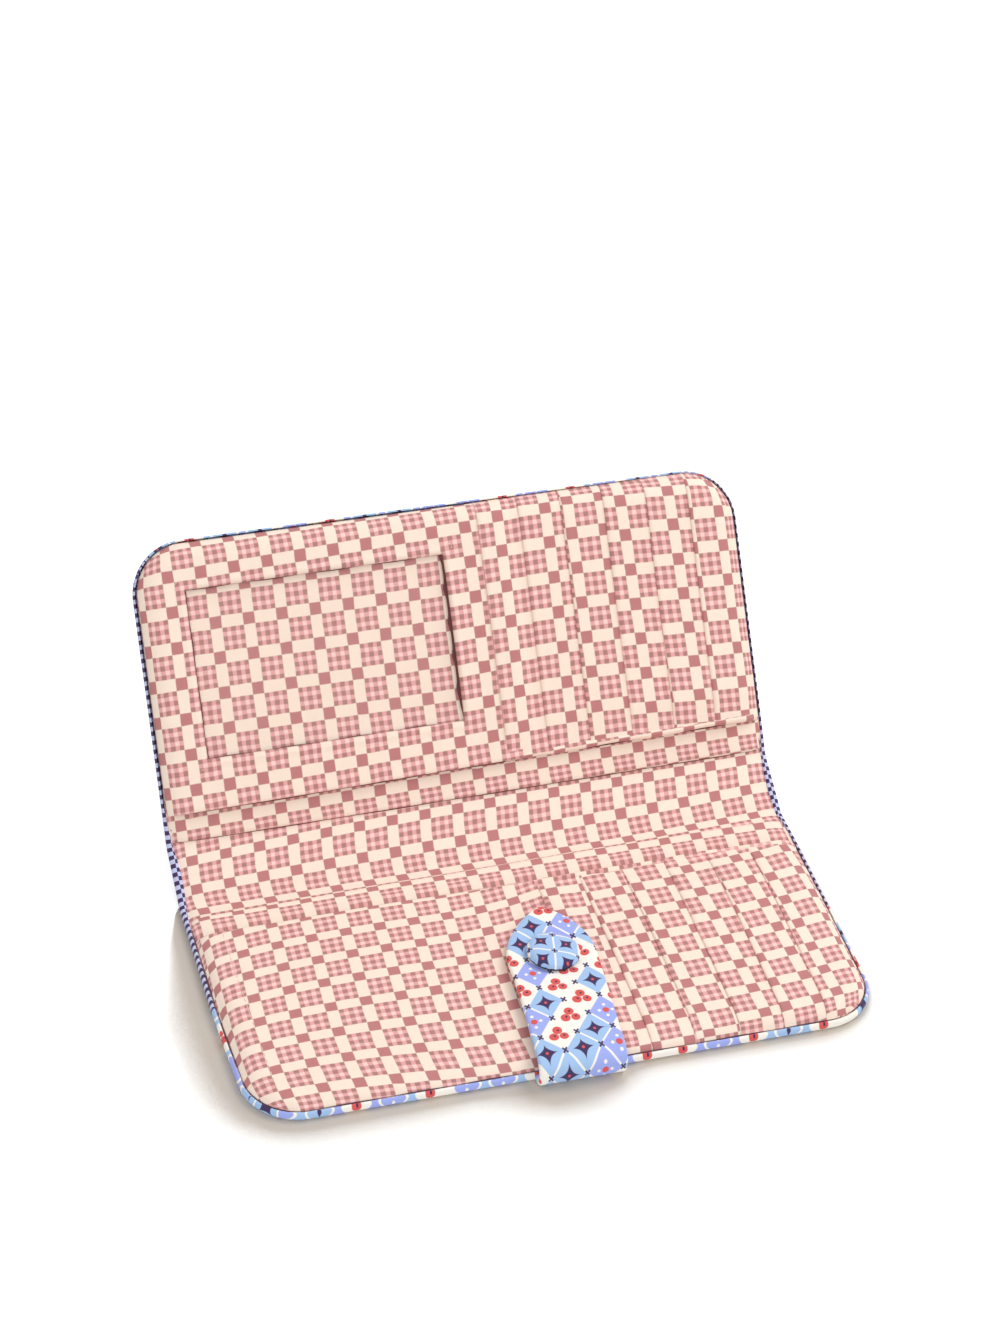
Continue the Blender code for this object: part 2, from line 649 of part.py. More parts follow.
def build_tab_flap(frame):
    """The flap: printed fabric turned down round an interfacing, a lining and the snap."""
    snap = (LEAN * FLAP_SNAP, FLAP_SNAP)
    outline = flap_outline(0.0, TAB_END)
    body = as_mesh(flat_curve("tab_flap_outer", [outline], 2 * TAB_HALF))
    inner = flap_outline(TAB_CLOTH, -TAB_END)
    hollow = as_mesh(flat_curve("tab_flap_hollow", [inner], 2 * TAB_HALF),
                     Matrix.Translation((0.0, 0.0, -TAB_CLOTH)))
    use_cutter(body, hollow, "DIFFERENCE", frame)
    hole = pin("cap_post_hole", POST_HOLE, 0.0, 2 * TAB_HALF, snap[0], snap[1])
    use_cutter(body, hole, "DIFFERENCE", frame)
    finish_object(body, "print_cloth", frame)
    filling = flap_outline(TAB_CLOTH + FIT, TAB_END)
    for name, radius, low, top, colour in (
            ("tab_flap_interfacing", POST_HOLE, TAB_INTERFACING_LOW, TAB_INTERFACING_TOP, "board"),
            ("tab_flap_lining", SOCKET_HOLE, -TAB_HALF, TAB_LINING_TOP, "print_trim")):
        layer = flat_curve(name, [filling, circle(snap[0], snap[1], radius)], top - low)
        layer.location = (0.0, 0.0, (low + top) / 2)
        finish_object(layer, colour, frame)
    build_snap(frame_empty("snap_place", (snap[0], snap[1], 0.0), 0.0, frame))


def build_snap(place):
    """The covered cap with its post on top of the flap, and the socket beneath it."""
    low = TAB_HALF + FIT
    crown = []
    for step in range(7):
        angle = math.radians(90.0 * step / 6)
        crown.append((CAP_RADIUS * math.sin(angle),
                      low + CAP_RIM + (CAP_HEIGHT - CAP_RIM) * math.cos(angle)))
    post_end = SOCKET_LOW + SOCKET_CAVITY_DEPTH + POST_SEAT
    profile = crown + [(CAP_RADIUS, low + CAP_RIM / 2), (CAP_RADIUS - CAP_RIM / 2, low),
                       (POST_RADIUS, low), (POST_RADIUS, post_end), (0.0, post_end)]
    turned("snap_cap", profile, "print_cloth", place)
    roof = SOCKET_LOW + SOCKET_CAVITY_DEPTH
    bevel = SOCKET_HEIGHT / 4
    ring = [(POST_HOLE, SOCKET_TOP), (SOCKET_RADIUS, SOCKET_TOP),
            (SOCKET_RADIUS, SOCKET_LOW + bevel), (SOCKET_RADIUS - bevel, SOCKET_LOW),
            (SOCKET_CAVITY, SOCKET_LOW), (SOCKET_CAVITY, roof), (POST_HOLE, roof)]
    turned("snap_socket", ring, "nickel", place, closed=True)


clear_scene()
PARTS = new_collection("tab_wallet")
CUTTERS = new_collection("tab_wallet_cutters")
lower_frame = frame_empty("lower_frame", (0.0, LOWER_FOLD_Y, FOLD_HEIGHT), 0.0)
spine_frame = frame_empty("spine_frame", (0.0, LOWER_FOLD_Y, FOLD_HEIGHT), SPINE_SLOPE)
upper_frame = frame_empty("upper_frame", (0.0, SPINE_DEPTH, 0.0), COVER_TILT - SPINE_SLOPE,
                          spine_frame)
neck_frame = frame_empty("neck_frame", (TAB_X, TAB_FOLD_Y, TAB_FOLD_Z), 0.0)
flap_frame = frame_empty("flap_frame", (LEAN * NECK_LENGTH, NECK_LENGTH, 0.0), 0.0, neck_frame)
build_lower_cover(lower_frame)
build_spine(spine_frame)
build_upper_cover(upper_frame)
build_tab_root()
build_tab_neck(neck_frame)
build_tab_flap(flap_frame)
bpy.context.view_layer.update()
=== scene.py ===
"""Tab wallet lying open: a quilted print outside, a woven check inside, pockets with turned
edges, twelve stepped card slots, a framed clear window and a padded snap tab.

Everything soft is drawn flat first, in x across the wallet, t along it (0 at the lower fold,
20 mm at the upper fold) and h above its outside, and is then laid round the two folds.
"""
import logging
import math
from dataclasses import dataclass, field
from enum import Enum
from typing import Callable, Sequence

import bmesh
import bpy
import numpy as np
from mathutils import Matrix, Vector


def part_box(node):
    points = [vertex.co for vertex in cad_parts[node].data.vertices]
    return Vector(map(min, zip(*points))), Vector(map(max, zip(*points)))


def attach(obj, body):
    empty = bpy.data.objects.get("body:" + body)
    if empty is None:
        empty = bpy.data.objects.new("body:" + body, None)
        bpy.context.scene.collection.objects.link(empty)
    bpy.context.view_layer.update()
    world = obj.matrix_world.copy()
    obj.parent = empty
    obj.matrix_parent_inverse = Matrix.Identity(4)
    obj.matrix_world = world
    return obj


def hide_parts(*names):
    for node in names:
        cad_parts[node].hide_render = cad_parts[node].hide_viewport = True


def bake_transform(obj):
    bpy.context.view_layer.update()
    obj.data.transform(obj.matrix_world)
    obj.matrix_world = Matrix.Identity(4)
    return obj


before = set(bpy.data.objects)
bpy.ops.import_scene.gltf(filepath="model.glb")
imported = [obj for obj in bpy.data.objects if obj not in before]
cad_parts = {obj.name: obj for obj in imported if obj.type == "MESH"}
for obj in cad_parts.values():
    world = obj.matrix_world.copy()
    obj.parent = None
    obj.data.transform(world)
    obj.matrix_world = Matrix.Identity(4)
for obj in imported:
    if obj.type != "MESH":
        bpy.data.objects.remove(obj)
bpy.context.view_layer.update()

LOG = logging.getLogger("tab_wallet")
MM = 0.001
Grid = np.ndarray
Piece = bpy.types.Object
Socket = bpy.types.NodeSocket
Colour = tuple[float, float, float]


def smooth(share: Grid) -> Grid:
    """Smoothstep of a share, held between 0 and 1 first."""
    share = np.clip(share, 0.0, 1.0)
    return share * share * (3.0 - 2.0 * share)


def graded(knots: Sequence[float], step: float) -> Grid:
    """Places between knots that crowd towards each knot.

    Between knots a and b the places are a + (b - a)(1 - cos(pi k / n)) / 2.

    Args:
        knots: Rising places that are kept.
        step: Greatest distance between two places.

    Returns:
        All the places as one array.
    """
    parts = []
    for low, high in zip(knots[:-1], knots[1:]):
        count = max(4, math.ceil((high - low) / step * math.pi / 2))
        parts.append(low + (high - low) * (1.0 - np.cos(np.pi * np.arange(count) / count)) / 2.0)
    return np.append(np.concatenate(parts), knots[-1])


def bump(place: Grid, middle: float, reach: float) -> Grid:
    """A bell of height 1 about a middle: exp(-((place - middle) / reach) squared)."""
    return np.exp(-(((place - middle) / reach) ** 2))


def linear(red: int, green: int, blue: int) -> Colour:
    """An sRGB colour of 0 to 255 as linear light."""
    shares = [value / 255.0 for value in (red, green, blue)]
    light = [s / 12.92 if s <= 0.04045 else ((s + 0.055) / 1.055) ** 2.4 for s in shares]
    return (light[0], light[1], light[2])


# ---------------------------------------------------------------- the wallet's form


class Half(Enum):
    """The two covers."""

    LOWER = "lower"
    UPPER = "upper"

    @property
    def body(self) -> str:
        """The CAD body that this cover rides on."""
        return f"{self.value}_cover"


@dataclass(frozen=True)
class WalletForm:
    """The wallet's outline, its two folds and the soft unevenness that all layers share."""

    half_width: float = 95.25 * MM
    cover_depth: float = 91.0 * MM
    spine: float = 20.0 * MM
    corner: float = 16.5 * MM
    fold_y: float = 45.5 * MM
    fold_z: float = 1.3 * MM
    reach: float = 5.0 * MM
    lower_turn: float = math.radians(27.5)
    upper_turn: float = math.radians(24.5)
    side_belly: float = 0.9 * MM
    seam_inset: float = 0.95 * MM
    seam_height: float = 2.35 * MM
    groove: float = 0.55 * MM

    @property
    def front(self) -> float:
        """The free edge of the lower cover."""
        return -self.cover_depth

    @property
    def back(self) -> float:
        """The free edge of the upper cover."""
        return self.spine + self.cover_depth

    def along(self, half: Half, s: Grid) -> Grid:
        """The place t of a distance s from a cover's fold."""
        return -s if half is Half.LOWER else self.spine + s

    def from_fold(self, half: Half, t: Grid) -> Grid:
        """The distance s from a cover's fold of a place t."""
        return -t if half is Half.LOWER else t - self.spine

    def past_corner(self, t: Grid) -> Grid:
        """How far t lies past the middles of the corner arcs."""
        ends = np.maximum(self.front + self.corner - t, t - (self.back - self.corner))
        return np.maximum(ends, 0.0)

    def half_at(self, t: Grid, inset: Grid) -> Grid:
        """Half the width at t of the outline moved in by inset."""
        radius = self.corner - inset
        past = np.minimum(self.past_corner(t), radius)
        return self.half_width - self.corner + np.sqrt(radius ** 2 - past ** 2)

    def depth_in(self, x: Grid, t: Grid) -> Grid:
        """How far a point lies inside the outline: R less its distance from the corner's middle
        in a corner, and the distance to the nearest straight side elsewhere.

        Args:
            x: Places across.
            t: Places along.

        Returns:
            The depths, below 0 outside the outline.
        """
        beside = np.abs(x) - (self.half_width - self.corner)
        past = self.past_corner(t)
        straight = np.minimum(self.half_width - np.abs(x),
                              np.minimum(t - self.front, self.back - t))
        return np.where((beside > 0.0) & (past > 0.0),
                        self.corner - np.hypot(beside, past), straight)

    def squeeze(self, x: Grid, t: Grid, inset: Grid, keep: float = 75.0 * MM) -> Grid:
        """Columns fitted into the outline: x stays up to keep, and the rest shares the room
        that the outline leaves at t.

        Args:
            x: Places across, at full width.
            t: Places along.
            inset: How far the outline moves in.
            keep: Where the fitting starts.

        Returns:
            The fitted places across.
        """
        room = np.maximum(self.half_at(t, inset) - keep, 0.0)
        full = self.half_width - inset - keep
        over = np.clip(np.abs(x) - keep, 0.0, None)
        return np.sign(x) * (np.minimum(np.abs(x), keep) + np.minimum(over / full, 1.0) * room)

    def seam_in(self, t: Grid) -> Grid:
        """How far in from the outline the seam lies: nearly on the edge of the upper cover, and
        drawn in beside the spine."""
        draw = bump(t, 0.45 * self.spine, 13.0 * MM)
        upper = smooth((t - self.spine) / (15.0 * MM))
        return self.seam_inset - 0.45 * MM * upper + 1.35 * MM * draw

    def unevenness(self, x: Grid, t: Grid) -> Grid:
        """Soft waves of the layers: three slow sines of x and t."""
        return 0.11 * MM * (np.sin(x / (9.0 * MM) + 0.6 * np.sin(t / (17.0 * MM)))
                            + np.sin(t / (11.0 * MM) - x / (31.0 * MM) + 1.3)
                            + 0.7 * np.sin((x + 1.7 * t) / (19.0 * MM) + 0.4))

    def place(self, x: Grid, t: Grid, h: Grid) -> Grid:
        """Points laid round the folds.

        Each point turns about the upper fold line by the upper angle times the smoothstep of
        its place in that fold's zone, and then about the lower fold line in the same way.
        What would dip under the floor lies on it.

        Args:
            x: Places across the wallet.
            t: Places along it.
            h: Heights above the outside.

        Returns:
            Points in the row frame, one row each.
        """
        x, t, h = np.broadcast_arrays(x, t, h)
        belly = self.side_belly * np.where(x < 0.0, bump(t, -47.0 * MM, 30.0 * MM), 0.0)
        x = x + np.sign(x) * belly * (np.abs(x) / self.half_width) ** 4
        y, z = t, h - self.fold_z
        turn = self.upper_turn * smooth((t - self.spine + self.reach) / (2 * self.reach))
        ahead = y - self.spine
        y, z = (self.spine + ahead * np.cos(turn) - z * np.sin(turn),
                ahead * np.sin(turn) + z * np.cos(turn))
        turn = self.lower_turn * smooth((t + self.reach) / (2 * self.reach))
        y, z = y * np.cos(turn) - z * np.sin(turn), y * np.sin(turn) + z * np.cos(turn)
        z = np.maximum(self.fold_z + z, 0.02 * MM)
        return np.stack([x, self.fold_y + y, z], axis=-1).reshape(-1, 3)

    def zone(self, half: Half) -> tuple[Grid, Grid]:
        """Where a fold starts and ends, as two points in the row frame."""
        middle = 0.0 if half is Half.LOWER else self.spine
        axis = np.array([middle - self.reach, middle + self.reach])
        ends = self.place(np.zeros(2), axis, np.full(2, self.fold_z))
        return ends[0], ends[1]


FORM = WalletForm()


# ---------------------------------------------------------------- finishes


class Nodes:
    """A node tree being wired, with short calls for the nodes that the finishes use."""

    def __init__(self, tree: bpy.types.NodeTree) -> None:
        """Keep the tree.

        Args:
            tree: The tree of a material or of a group.
        """
        self.tree = tree

    def add(self, kind: str, **settings: object) -> bpy.types.Node:
        """A new node of a kind with its settings made."""
        node = self.tree.nodes.new(kind)
        for name, value in settings.items():
            setattr(node, name, value)
        return node

    def feed(self, socket: Socket, value: object) -> None:
        """Link an output to a socket, or set the socket's own value.

        Args:
            socket: The input.
            value: An output, or a plain value.
        """
        if isinstance(value, Socket):
            self.tree.links.new(value, socket)
        elif isinstance(value, tuple) and len(value) == 3 and socket.type == "RGBA":
            socket.default_value = (*value, 1.0)
        else:
            socket.default_value = value

    def math(self, operation: str, *values: object) -> Socket:
        """The result of a Math node."""
        node = self.add("ShaderNodeMath", operation=operation)
        for socket, value in zip(node.inputs, values):
            self.feed(socket, value)
        return node.outputs[0]

    def held(self, value: object, low: float, high: float) -> Socket:
        """A number held between two limits."""
        return self.math("MINIMUM", self.math("MAXIMUM", value, low), high)

    def inverse(self, mask: object) -> Socket:
        """1 less a mask."""
        return self.math("SUBTRACT", 1.0, mask)

    def below(self, value: object, limit: float, soft: float) -> Socket:
        """A mask that is 1 below a limit and 0 above it, with a soft edge.

        Args:
            value: What is compared.
            limit: Where the mask ends.
            soft: Half the width of its soft edge.

        Returns:
            The mask.
        """
        node = self.add("ShaderNodeMapRange", interpolation_type="SMOOTHSTEP")
        for name, number in (("Value", value), ("From Min", limit - soft),
                             ("From Max", limit + soft), ("To Min", 1.0), ("To Max", 0.0)):
            self.feed(node.inputs[name], number)
        return node.outputs[0]

    def mix(self, share: object, low: object, high: object,
            blend: str = "MIX") -> Socket:
        """A mixed colour."""
        node = self.add("ShaderNodeMix", data_type="RGBA", blend_type=blend)
        for index, value in ((0, share), (6, low), (7, high)):
            self.feed(node.inputs[index], value)
        return node.outputs[2]

    def split(self, vector: Socket) -> tuple[Socket, ...]:
        """The first two numbers of a vector."""
        node = self.add("ShaderNodeSeparateXYZ")
        self.feed(node.inputs[0], vector)
        return node.outputs[0], node.outputs[1]

    def join(self, first: object, second: object) -> Socket:
        """A vector of two numbers."""
        node = self.add("ShaderNodeCombineXYZ")
        self.feed(node.inputs[0], first)
        self.feed(node.inputs[1], second)
        return node.outputs[0]

    def noise(self, vector: object, scale: float, detail: float = 2.0) -> Socket:
        """Noise of 0 to 1.

        Args:
            vector: Where it is read.
            scale: How fine it is.
            detail: How many octaves it has.

        Returns:
            The noise.
        """
        node = self.add("ShaderNodeTexNoise")
        self.feed(node.inputs["Vector"], vector)
        self.feed(node.inputs["Scale"], scale)
        self.feed(node.inputs["Detail"], detail)
        return node.outputs["Fac"]

    def group(self, tree: bpy.types.NodeTree, **values: object) -> bpy.types.Node:
        """A placed group with its inputs fed."""
        node = self.add("ShaderNodeGroup", node_tree=tree)
        for name, value in values.items():
            self.feed(node.inputs[name], value)
        return node


def new_group(name: str, inputs: Sequence[tuple[str, str]],
              outputs: Sequence[tuple[str, str]]) -> tuple[Nodes, dict, dict]:
    """An empty shader group.

    Args:
        name: The group's name.
        inputs: Names and socket types of what goes in.
        outputs: Names and socket types of what comes out.

    Returns:
        The group's nodes, its input sockets and its output sockets by name.
    """
    tree = bpy.data.node_groups.new(name, "ShaderNodeTree")
    for way, sockets in (("INPUT", inputs), ("OUTPUT", outputs)):
        for label, kind in sockets:
            tree.interface.new_socket(label, in_out=way, socket_type=kind)
    nodes = Nodes(tree)
    start = nodes.add("NodeGroupInput")
    end = nodes.add("NodeGroupOutput")
    return (nodes, {label: start.outputs[label] for label, _ in inputs},
            {label: end.inputs[label] for label, _ in outputs})


class ClothEffects:
    """The groups that the fabrics share: plain weave, woven check, printed trellis, and tone with
    painted shade between the threads.
    """

    def __init__(self) -> None:
        """Build each group once."""
        self.weave = self.plain_weave()
        self.check = self.woven_check()
        self.trellis = self.printed_trellis()
        self.tone = self.cloth_tone()

    def plain_weave(self) -> bpy.types.NodeTree:
        """Threads: the height is half of 1 plus the sine of one way times the other.

        Returns:
            The group.
        """
        nodes, given, out = new_group(
            "plain_weave", [("Lay", "NodeSocketVector"), ("Threads", "NodeSocketFloat")],
            [("Height", "NodeSocketFloat")])
        u, v = nodes.split(given["Lay"])
        rate = nodes.math("MULTIPLY", given["Threads"], math.pi)
        warp = nodes.math("SINE", nodes.math("MULTIPLY", u, rate))
        weft = nodes.math("SINE", nodes.math("MULTIPLY", v, rate))
        over = nodes.math("MULTIPLY", warp, weft)
        nodes.feed(out["Height"], nodes.math("MULTIPLY_ADD", over, 0.5, 0.5))
        return nodes.tree

    def woven_check(self) -> bpy.types.NodeTree:
        """A check of narrow and wide stripes both ways, with five fine stripes in each wide
        one. The distance to the nearest whole number of each coordinate picks the stripe.

        Returns:
            The group.
        """
        nodes, given, out = new_group(
            "woven_check",
            [("Lay", "NodeSocketVector"), ("Rose", "NodeSocketColor"),
             ("Cream", "NodeSocketColor"), ("Dot", "NodeSocketColor"),
             ("Pink", "NodeSocketColor"), ("Blush", "NodeSocketColor")],
            [("Colour", "NodeSocketColor")])
        u, v = nodes.split(given["Lay"])
        drift = nodes.math("MULTIPLY_ADD", nodes.noise(given["Lay"], 2.3, 3.0), 0.05, -0.025)
        masks = []
        for way in (u, v):
            near = nodes.math("PINGPONG", nodes.math("ADD", way, drift), 0.5)
            narrow = nodes.below(near, 0.172, 0.018)
            off = nodes.below(nodes.math("ABSOLUTE", nodes.math("SUBTRACT", near, 0.366)),
                              0.062, 0.018)
            masks.append((narrow, nodes.inverse(off)))
        (narrow_u, fine_u), (narrow_v, fine_v) = masks
        low = nodes.mix(fine_u, given["Blush"], given["Pink"])
        high = nodes.mix(fine_u, given["Pink"], given["Dot"])
        fine = nodes.mix(fine_v, low, high)
        row = nodes.mix(narrow_u, fine, given["Cream"])
        band = nodes.mix(narrow_u, given["Cream"], given["Rose"])
        nodes.feed(out["Colour"], nodes.mix(narrow_v, row, band))
        return nodes.tree

    def printed_trellis(self) -> bpy.types.NodeTree:
        """A generic print: a trellis of diamonds in three grounds, with three berries, a star
        or a ring of seeds in each, and a border of small checks along both sides. Shapes are
        distances from points; the star is where the sum of two powers of 0.6 is below 1.

        Returns:
            The group.
        """
        nodes, given, out = new_group(
            "printed_trellis",
            [("Lay", "NodeSocketVector"), ("Sky", "NodeSocketColor"),
             ("Periwinkle", "NodeSocketColor"), ("White", "NodeSocketColor"),
             ("Coral", "NodeSocketColor"), ("Plum", "NodeSocketColor")],
            [("Colour", "NodeSocketColor")])
        u, v = nodes.split(given["Lay"])
        slant = nodes.math("MULTIPLY", u, 0.92)
        rise = nodes.math("MULTIPLY", v, 0.78)
        first = nodes.math("ADD", slant, rise)
        second = nodes.math("SUBTRACT", slant, rise)
        row = nodes.math("FLOOR", first)
        column = nodes.math("FLOOR", second)
        scatter = nodes.add("ShaderNodeTexWhiteNoise", noise_dimensions="2D")
        nodes.feed(scatter.inputs["Vector"], nodes.join(row, column))
        pick = nodes.math("FLOOR", nodes.math("MULTIPLY", scatter.outputs["Value"], 3.0))
        is_white = nodes.below(pick, 0.5, 0.1)
        is_sky = nodes.below(nodes.math("ABSOLUTE", nodes.math("SUBTRACT", pick, 1.0)), 0.5, 0.1)
        fa = nodes.math("SUBTRACT", nodes.math("FRACT", first), 0.5)
        fb = nodes.math("SUBTRACT", nodes.math("FRACT", second), 0.5)
        across = nodes.math("DIVIDE", nodes.math("ADD", fa, fb), 1.84)
        up = nodes.math("DIVIDE", nodes.math("SUBTRACT", fa, fb), 1.56)

        def dots(*rounds: tuple[float, float, float]) -> Socket:
            """A mask of round dots, each given by its place and its radius.

            Args:
                rounds: The x, y and radius of each dot.

            Returns:
                The mask.
            """
            whole = None
            for x, y, radius in rounds:
                dx = nodes.math("DIVIDE", nodes.math("SUBTRACT", across, x), radius)
                dy = nodes.math("DIVIDE", nodes.math("SUBTRACT", up, y), radius)
                away = nodes.math("ADD", nodes.math("MULTIPLY", dx, dx),
                                  nodes.math("MULTIPLY", dy, dy))
                dot = nodes.below(away, 1.0, 0.22)
                whole = dot if whole is None else nodes.math("MAXIMUM", whole, dot)
            return whole

        berries = dots((-0.16, -0.08, 0.145), (0.14, -0.10, 0.135), (0.0, 0.15, 0.145))
        pips = dots((-0.13, -0.05, 0.035), (0.15, -0.07, 0.035), (0.02, 0.15, 0.035))
        points = [nodes.math("POWER", nodes.math("ABSOLUTE", nodes.math("DIVIDE", way, 0.34)), 0.6)
                  for way in (across, up)]
        star = nodes.below(nodes.math("ADD", *points), 1.0, 0.06)
        eye = dots((0.0, 0.0, 0.045))
        ring = dots((-0.2, 0.0, 0.05), (0.2, 0.0, 0.05), (0.0, 0.22, 0.05), (0.0, -0.22, 0.05))
        seed = dots((0.0, 0.0, 0.1))
        tint = nodes.mix(is_sky, nodes.mix(is_white, given["Periwinkle"], given["White"]),
                         given["Sky"])
        is_blue = nodes.inverse(nodes.math("MAXIMUM", is_white, is_sky))
        for motif, ground, colour in ((berries, is_white, "Coral"), (pips, is_white, "Plum"),
                                      (star, is_sky, "Plum"), (eye, is_sky, "Coral"),
                                      (ring, is_blue, "White"), (seed, is_blue, "Coral")):
            tint = nodes.mix(nodes.math("MULTIPLY", motif, ground), tint, given[colour])
        edge = nodes.math("MAXIMUM", nodes.math("ABSOLUTE", fa), nodes.math("ABSOLUTE", fb))
        rail = nodes.inverse(nodes.below(edge, 0.465, 0.012))
        crossing = nodes.math("MINIMUM", nodes.math("ABSOLUTE", fa), nodes.math("ABSOLUTE", fb))
        knot = nodes.math("MULTIPLY", rail, nodes.inverse(nodes.below(crossing, 0.37, 0.01)))
        tint = nodes.mix(rail, tint, given["White"])
        tint = nodes.mix(knot, tint, given["Plum"])
        checks = nodes.add("ShaderNodeTexChecker")
        lilac = nodes.mix(0.4, given["Periwinkle"], given["White"])
        for name, value in (("Vector", given["Lay"]), ("Color1", given["Plum"]),
                            ("Color2", lilac), ("Scale", 7.3)):
            nodes.feed(checks.inputs[name], value)
        side = nodes.below(nodes.math("ABSOLUTE", u), 8.95, 0.02)
        border = nodes.inverse(nodes.math("MAXIMUM", side, nodes.below(v, -4.6, 0.02)))
        nodes.feed(out["Colour"], nodes.mix(border, tint, checks.outputs["Color"]))
        return nodes.tree

    def cloth_tone(self) -> bpy.types.NodeTree:
        """Small differences of tone: slow noise and single threads, and painted shade between the
        woven threads, whose raised crossings are a little lighter, times a colour.

        Returns:
            The group.
        """
        nodes, given, out = new_group(
            "cloth_tone", [("Lay", "NodeSocketVector"), ("Colour", "NodeSocketColor"),
                           ("Height", "NodeSocketFloat")],
            [("Colour", "NodeSocketColor"), ("Rough", "NodeSocketFloat")])
        slow = nodes.noise(given["Lay"], 1.7, 3.0)
        fine = nodes.noise(given["Lay"], 31.0, 2.0)
        level = nodes.math("MULTIPLY_ADD", slow, 0.07, 0.93)
        level = nodes.math("MULTIPLY_ADD", fine, 0.06, level)
        # painted shade: the weave's height lightens the raised threads and darkens the hollows
        # between them
        level = nodes.math("MULTIPLY_ADD", given["Height"], 0.03, level)
        grey = nodes.add("ShaderNodeCombineColor")
        for socket in grey.inputs:
            nodes.feed(socket, level)
        nodes.feed(out["Colour"], nodes.mix(1.0, given["Colour"], grey.outputs[0], "MULTIPLY"))
        nodes.feed(out["Rough"], nodes.math("MULTIPLY_ADD", fine, 0.12, 0.78))
        return nodes.tree


EFFECTS = ClothEffects()


def new_material(name: str) -> tuple[bpy.types.Material, Nodes, bpy.types.Node]:
    """A material with its nodes and its Principled shader."""
    material = bpy.data.materials.new(name)
    material.use_nodes = True
    nodes = Nodes(material.node_tree)
    return material, nodes, material.node_tree.nodes["Principled BSDF"]


def relief(nodes: Nodes, shader: bpy.types.Node, height: object, strength: float,
           distance: float) -> None:
    """A Bump node that feeds a shader's normal."""
    node = nodes.add("ShaderNodeBump")
    for name, value in (("Strength", strength), ("Distance", distance), ("Height", height)):
        nodes.feed(node.inputs[name], value)
    nodes.feed(shader.inputs["Normal"], node.outputs[0])


def cotton(name: str, threads: float, pattern: bpy.types.NodeTree,
           **colours: Colour) -> bpy.types.Material:
    """Woven cotton: a pattern, times the tone, over the relief of its threads.

    Args:
        name: The material's name.
        threads: Threads in one unit of the lay.
        pattern: The group that draws the pattern.
        colours: The pattern's colours, by the names of its inputs.

    Returns:
        The material.
    """
    material, nodes, shader = new_material(name)
    lay = nodes.add("ShaderNodeUVMap", uv_map="Lay").outputs[0]
    weave = nodes.group(EFFECTS.weave, Lay=lay, Threads=threads).outputs[0]
    colour = nodes.group(pattern, Lay=lay, **colours).outputs[0]
    tone = nodes.group(EFFECTS.tone, Lay=lay, Colour=colour, Height=weave)
    nodes.feed(shader.inputs["Base Color"], tone.outputs[0])
    nodes.feed(shader.inputs["Roughness"], tone.outputs[1])
    shader.inputs["Specular IOR Level"].default_value = 0.25
    shader.inputs["Sheen Weight"].default_value = 0.12
    shader.inputs["Sheen Roughness"].default_value = 0.5
    relief(nodes, shader, weave, 0.35, 0.05 * MM)
    return material


@dataclass(frozen=True)
class CheckCotton:
    """Woven cotton check of the inside; its lay counts whole repeats of the check."""

    name: str = "check_cotton"
    rose: Colour = linear(194, 128, 127)
    cream: Colour = linear(252, 231, 214)
    dot: Colour = linear(180, 130, 124)
    pink: Colour = linear(233, 171, 168)
    blush: Colour = linear(252, 213, 207)
    threads: float = 38.0

    def make(self) -> bpy.types.Material:
        """Build the material."""
        return cotton(self.name, self.threads, EFFECTS.check, Rose=self.rose, Cream=self.cream,
                      Dot=self.dot, Pink=self.pink, Blush=self.blush)


@dataclass(frozen=True)
class PrintCotton:
    """Printed cotton of the outside; its lay counts centimetres."""

    name: str = "print_cotton"
    sky: Colour = linear(168, 200, 240)
    periwinkle: Colour = linear(164, 178, 244)
    white: Colour = linear(252, 247, 238)
    coral: Colour = linear(224, 92, 88)
    plum: Colour = linear(70, 54, 96)
    threads: float = 37.0

    def make(self) -> bpy.types.Material:
        """Build the material."""
        return cotton(self.name, self.threads, EFFECTS.trellis, Sky=self.sky,
                      Periwinkle=self.periwinkle, White=self.white, Coral=self.coral,
                      Plum=self.plum)


@dataclass(frozen=True)
class ClearFilm:
    """Clear vinyl of the window, faintly warm and rippled."""

    name: str = "clear_vinyl"
    tint: Colour = linear(240, 222, 212)
    cover: float = 0.015

    def make(self) -> bpy.types.Material:
        """Build the material.

        Returns:
            The material.
        """
        material, nodes, shader = new_material(self.name)
        place = nodes.add("ShaderNodeTexCoord").outputs["Object"]
        ripple = nodes.noise(place, 90.0, 2.0)
        nodes.feed(shader.inputs["Base Color"], self.tint)
        nodes.feed(shader.inputs["Roughness"], nodes.math("MULTIPLY_ADD", ripple, 0.1, 0.12))
        nodes.feed(shader.inputs["Alpha"], nodes.math("MULTIPLY_ADD", ripple, 0.02, self.cover))
        shader.inputs["IOR"].default_value = 1.5
        relief(nodes, shader, ripple, 0.3, 0.1 * MM)
        return material


@dataclass(frozen=True)
class PlainStuff:
    """A plain grained finish: thread, wadding, board or metal."""

    name: str
    colour: Colour
    rough: float
    grain: float
    metallic: float = 0.0
    depth: float = 0.05 * MM

    def make(self) -> bpy.types.Material:
        """Build the material.

        Returns:
            The material.
        """
        material, nodes, shader = new_material(self.name)
        place = nodes.add("ShaderNodeTexCoord").outputs["Object"]
        grain = nodes.noise(place, self.grain, 4.0)
        dark = tuple(0.82 * part for part in self.colour)
        nodes.feed(shader.inputs["Base Color"], nodes.mix(grain, dark, self.colour))
        nodes.feed(shader.inputs["Roughness"],
                   nodes.math("MULTIPLY_ADD", grain, 0.15, self.rough))
        shader.inputs["Metallic"].default_value = self.metallic
        relief(nodes, shader, grain, 0.3, self.depth)
        return material


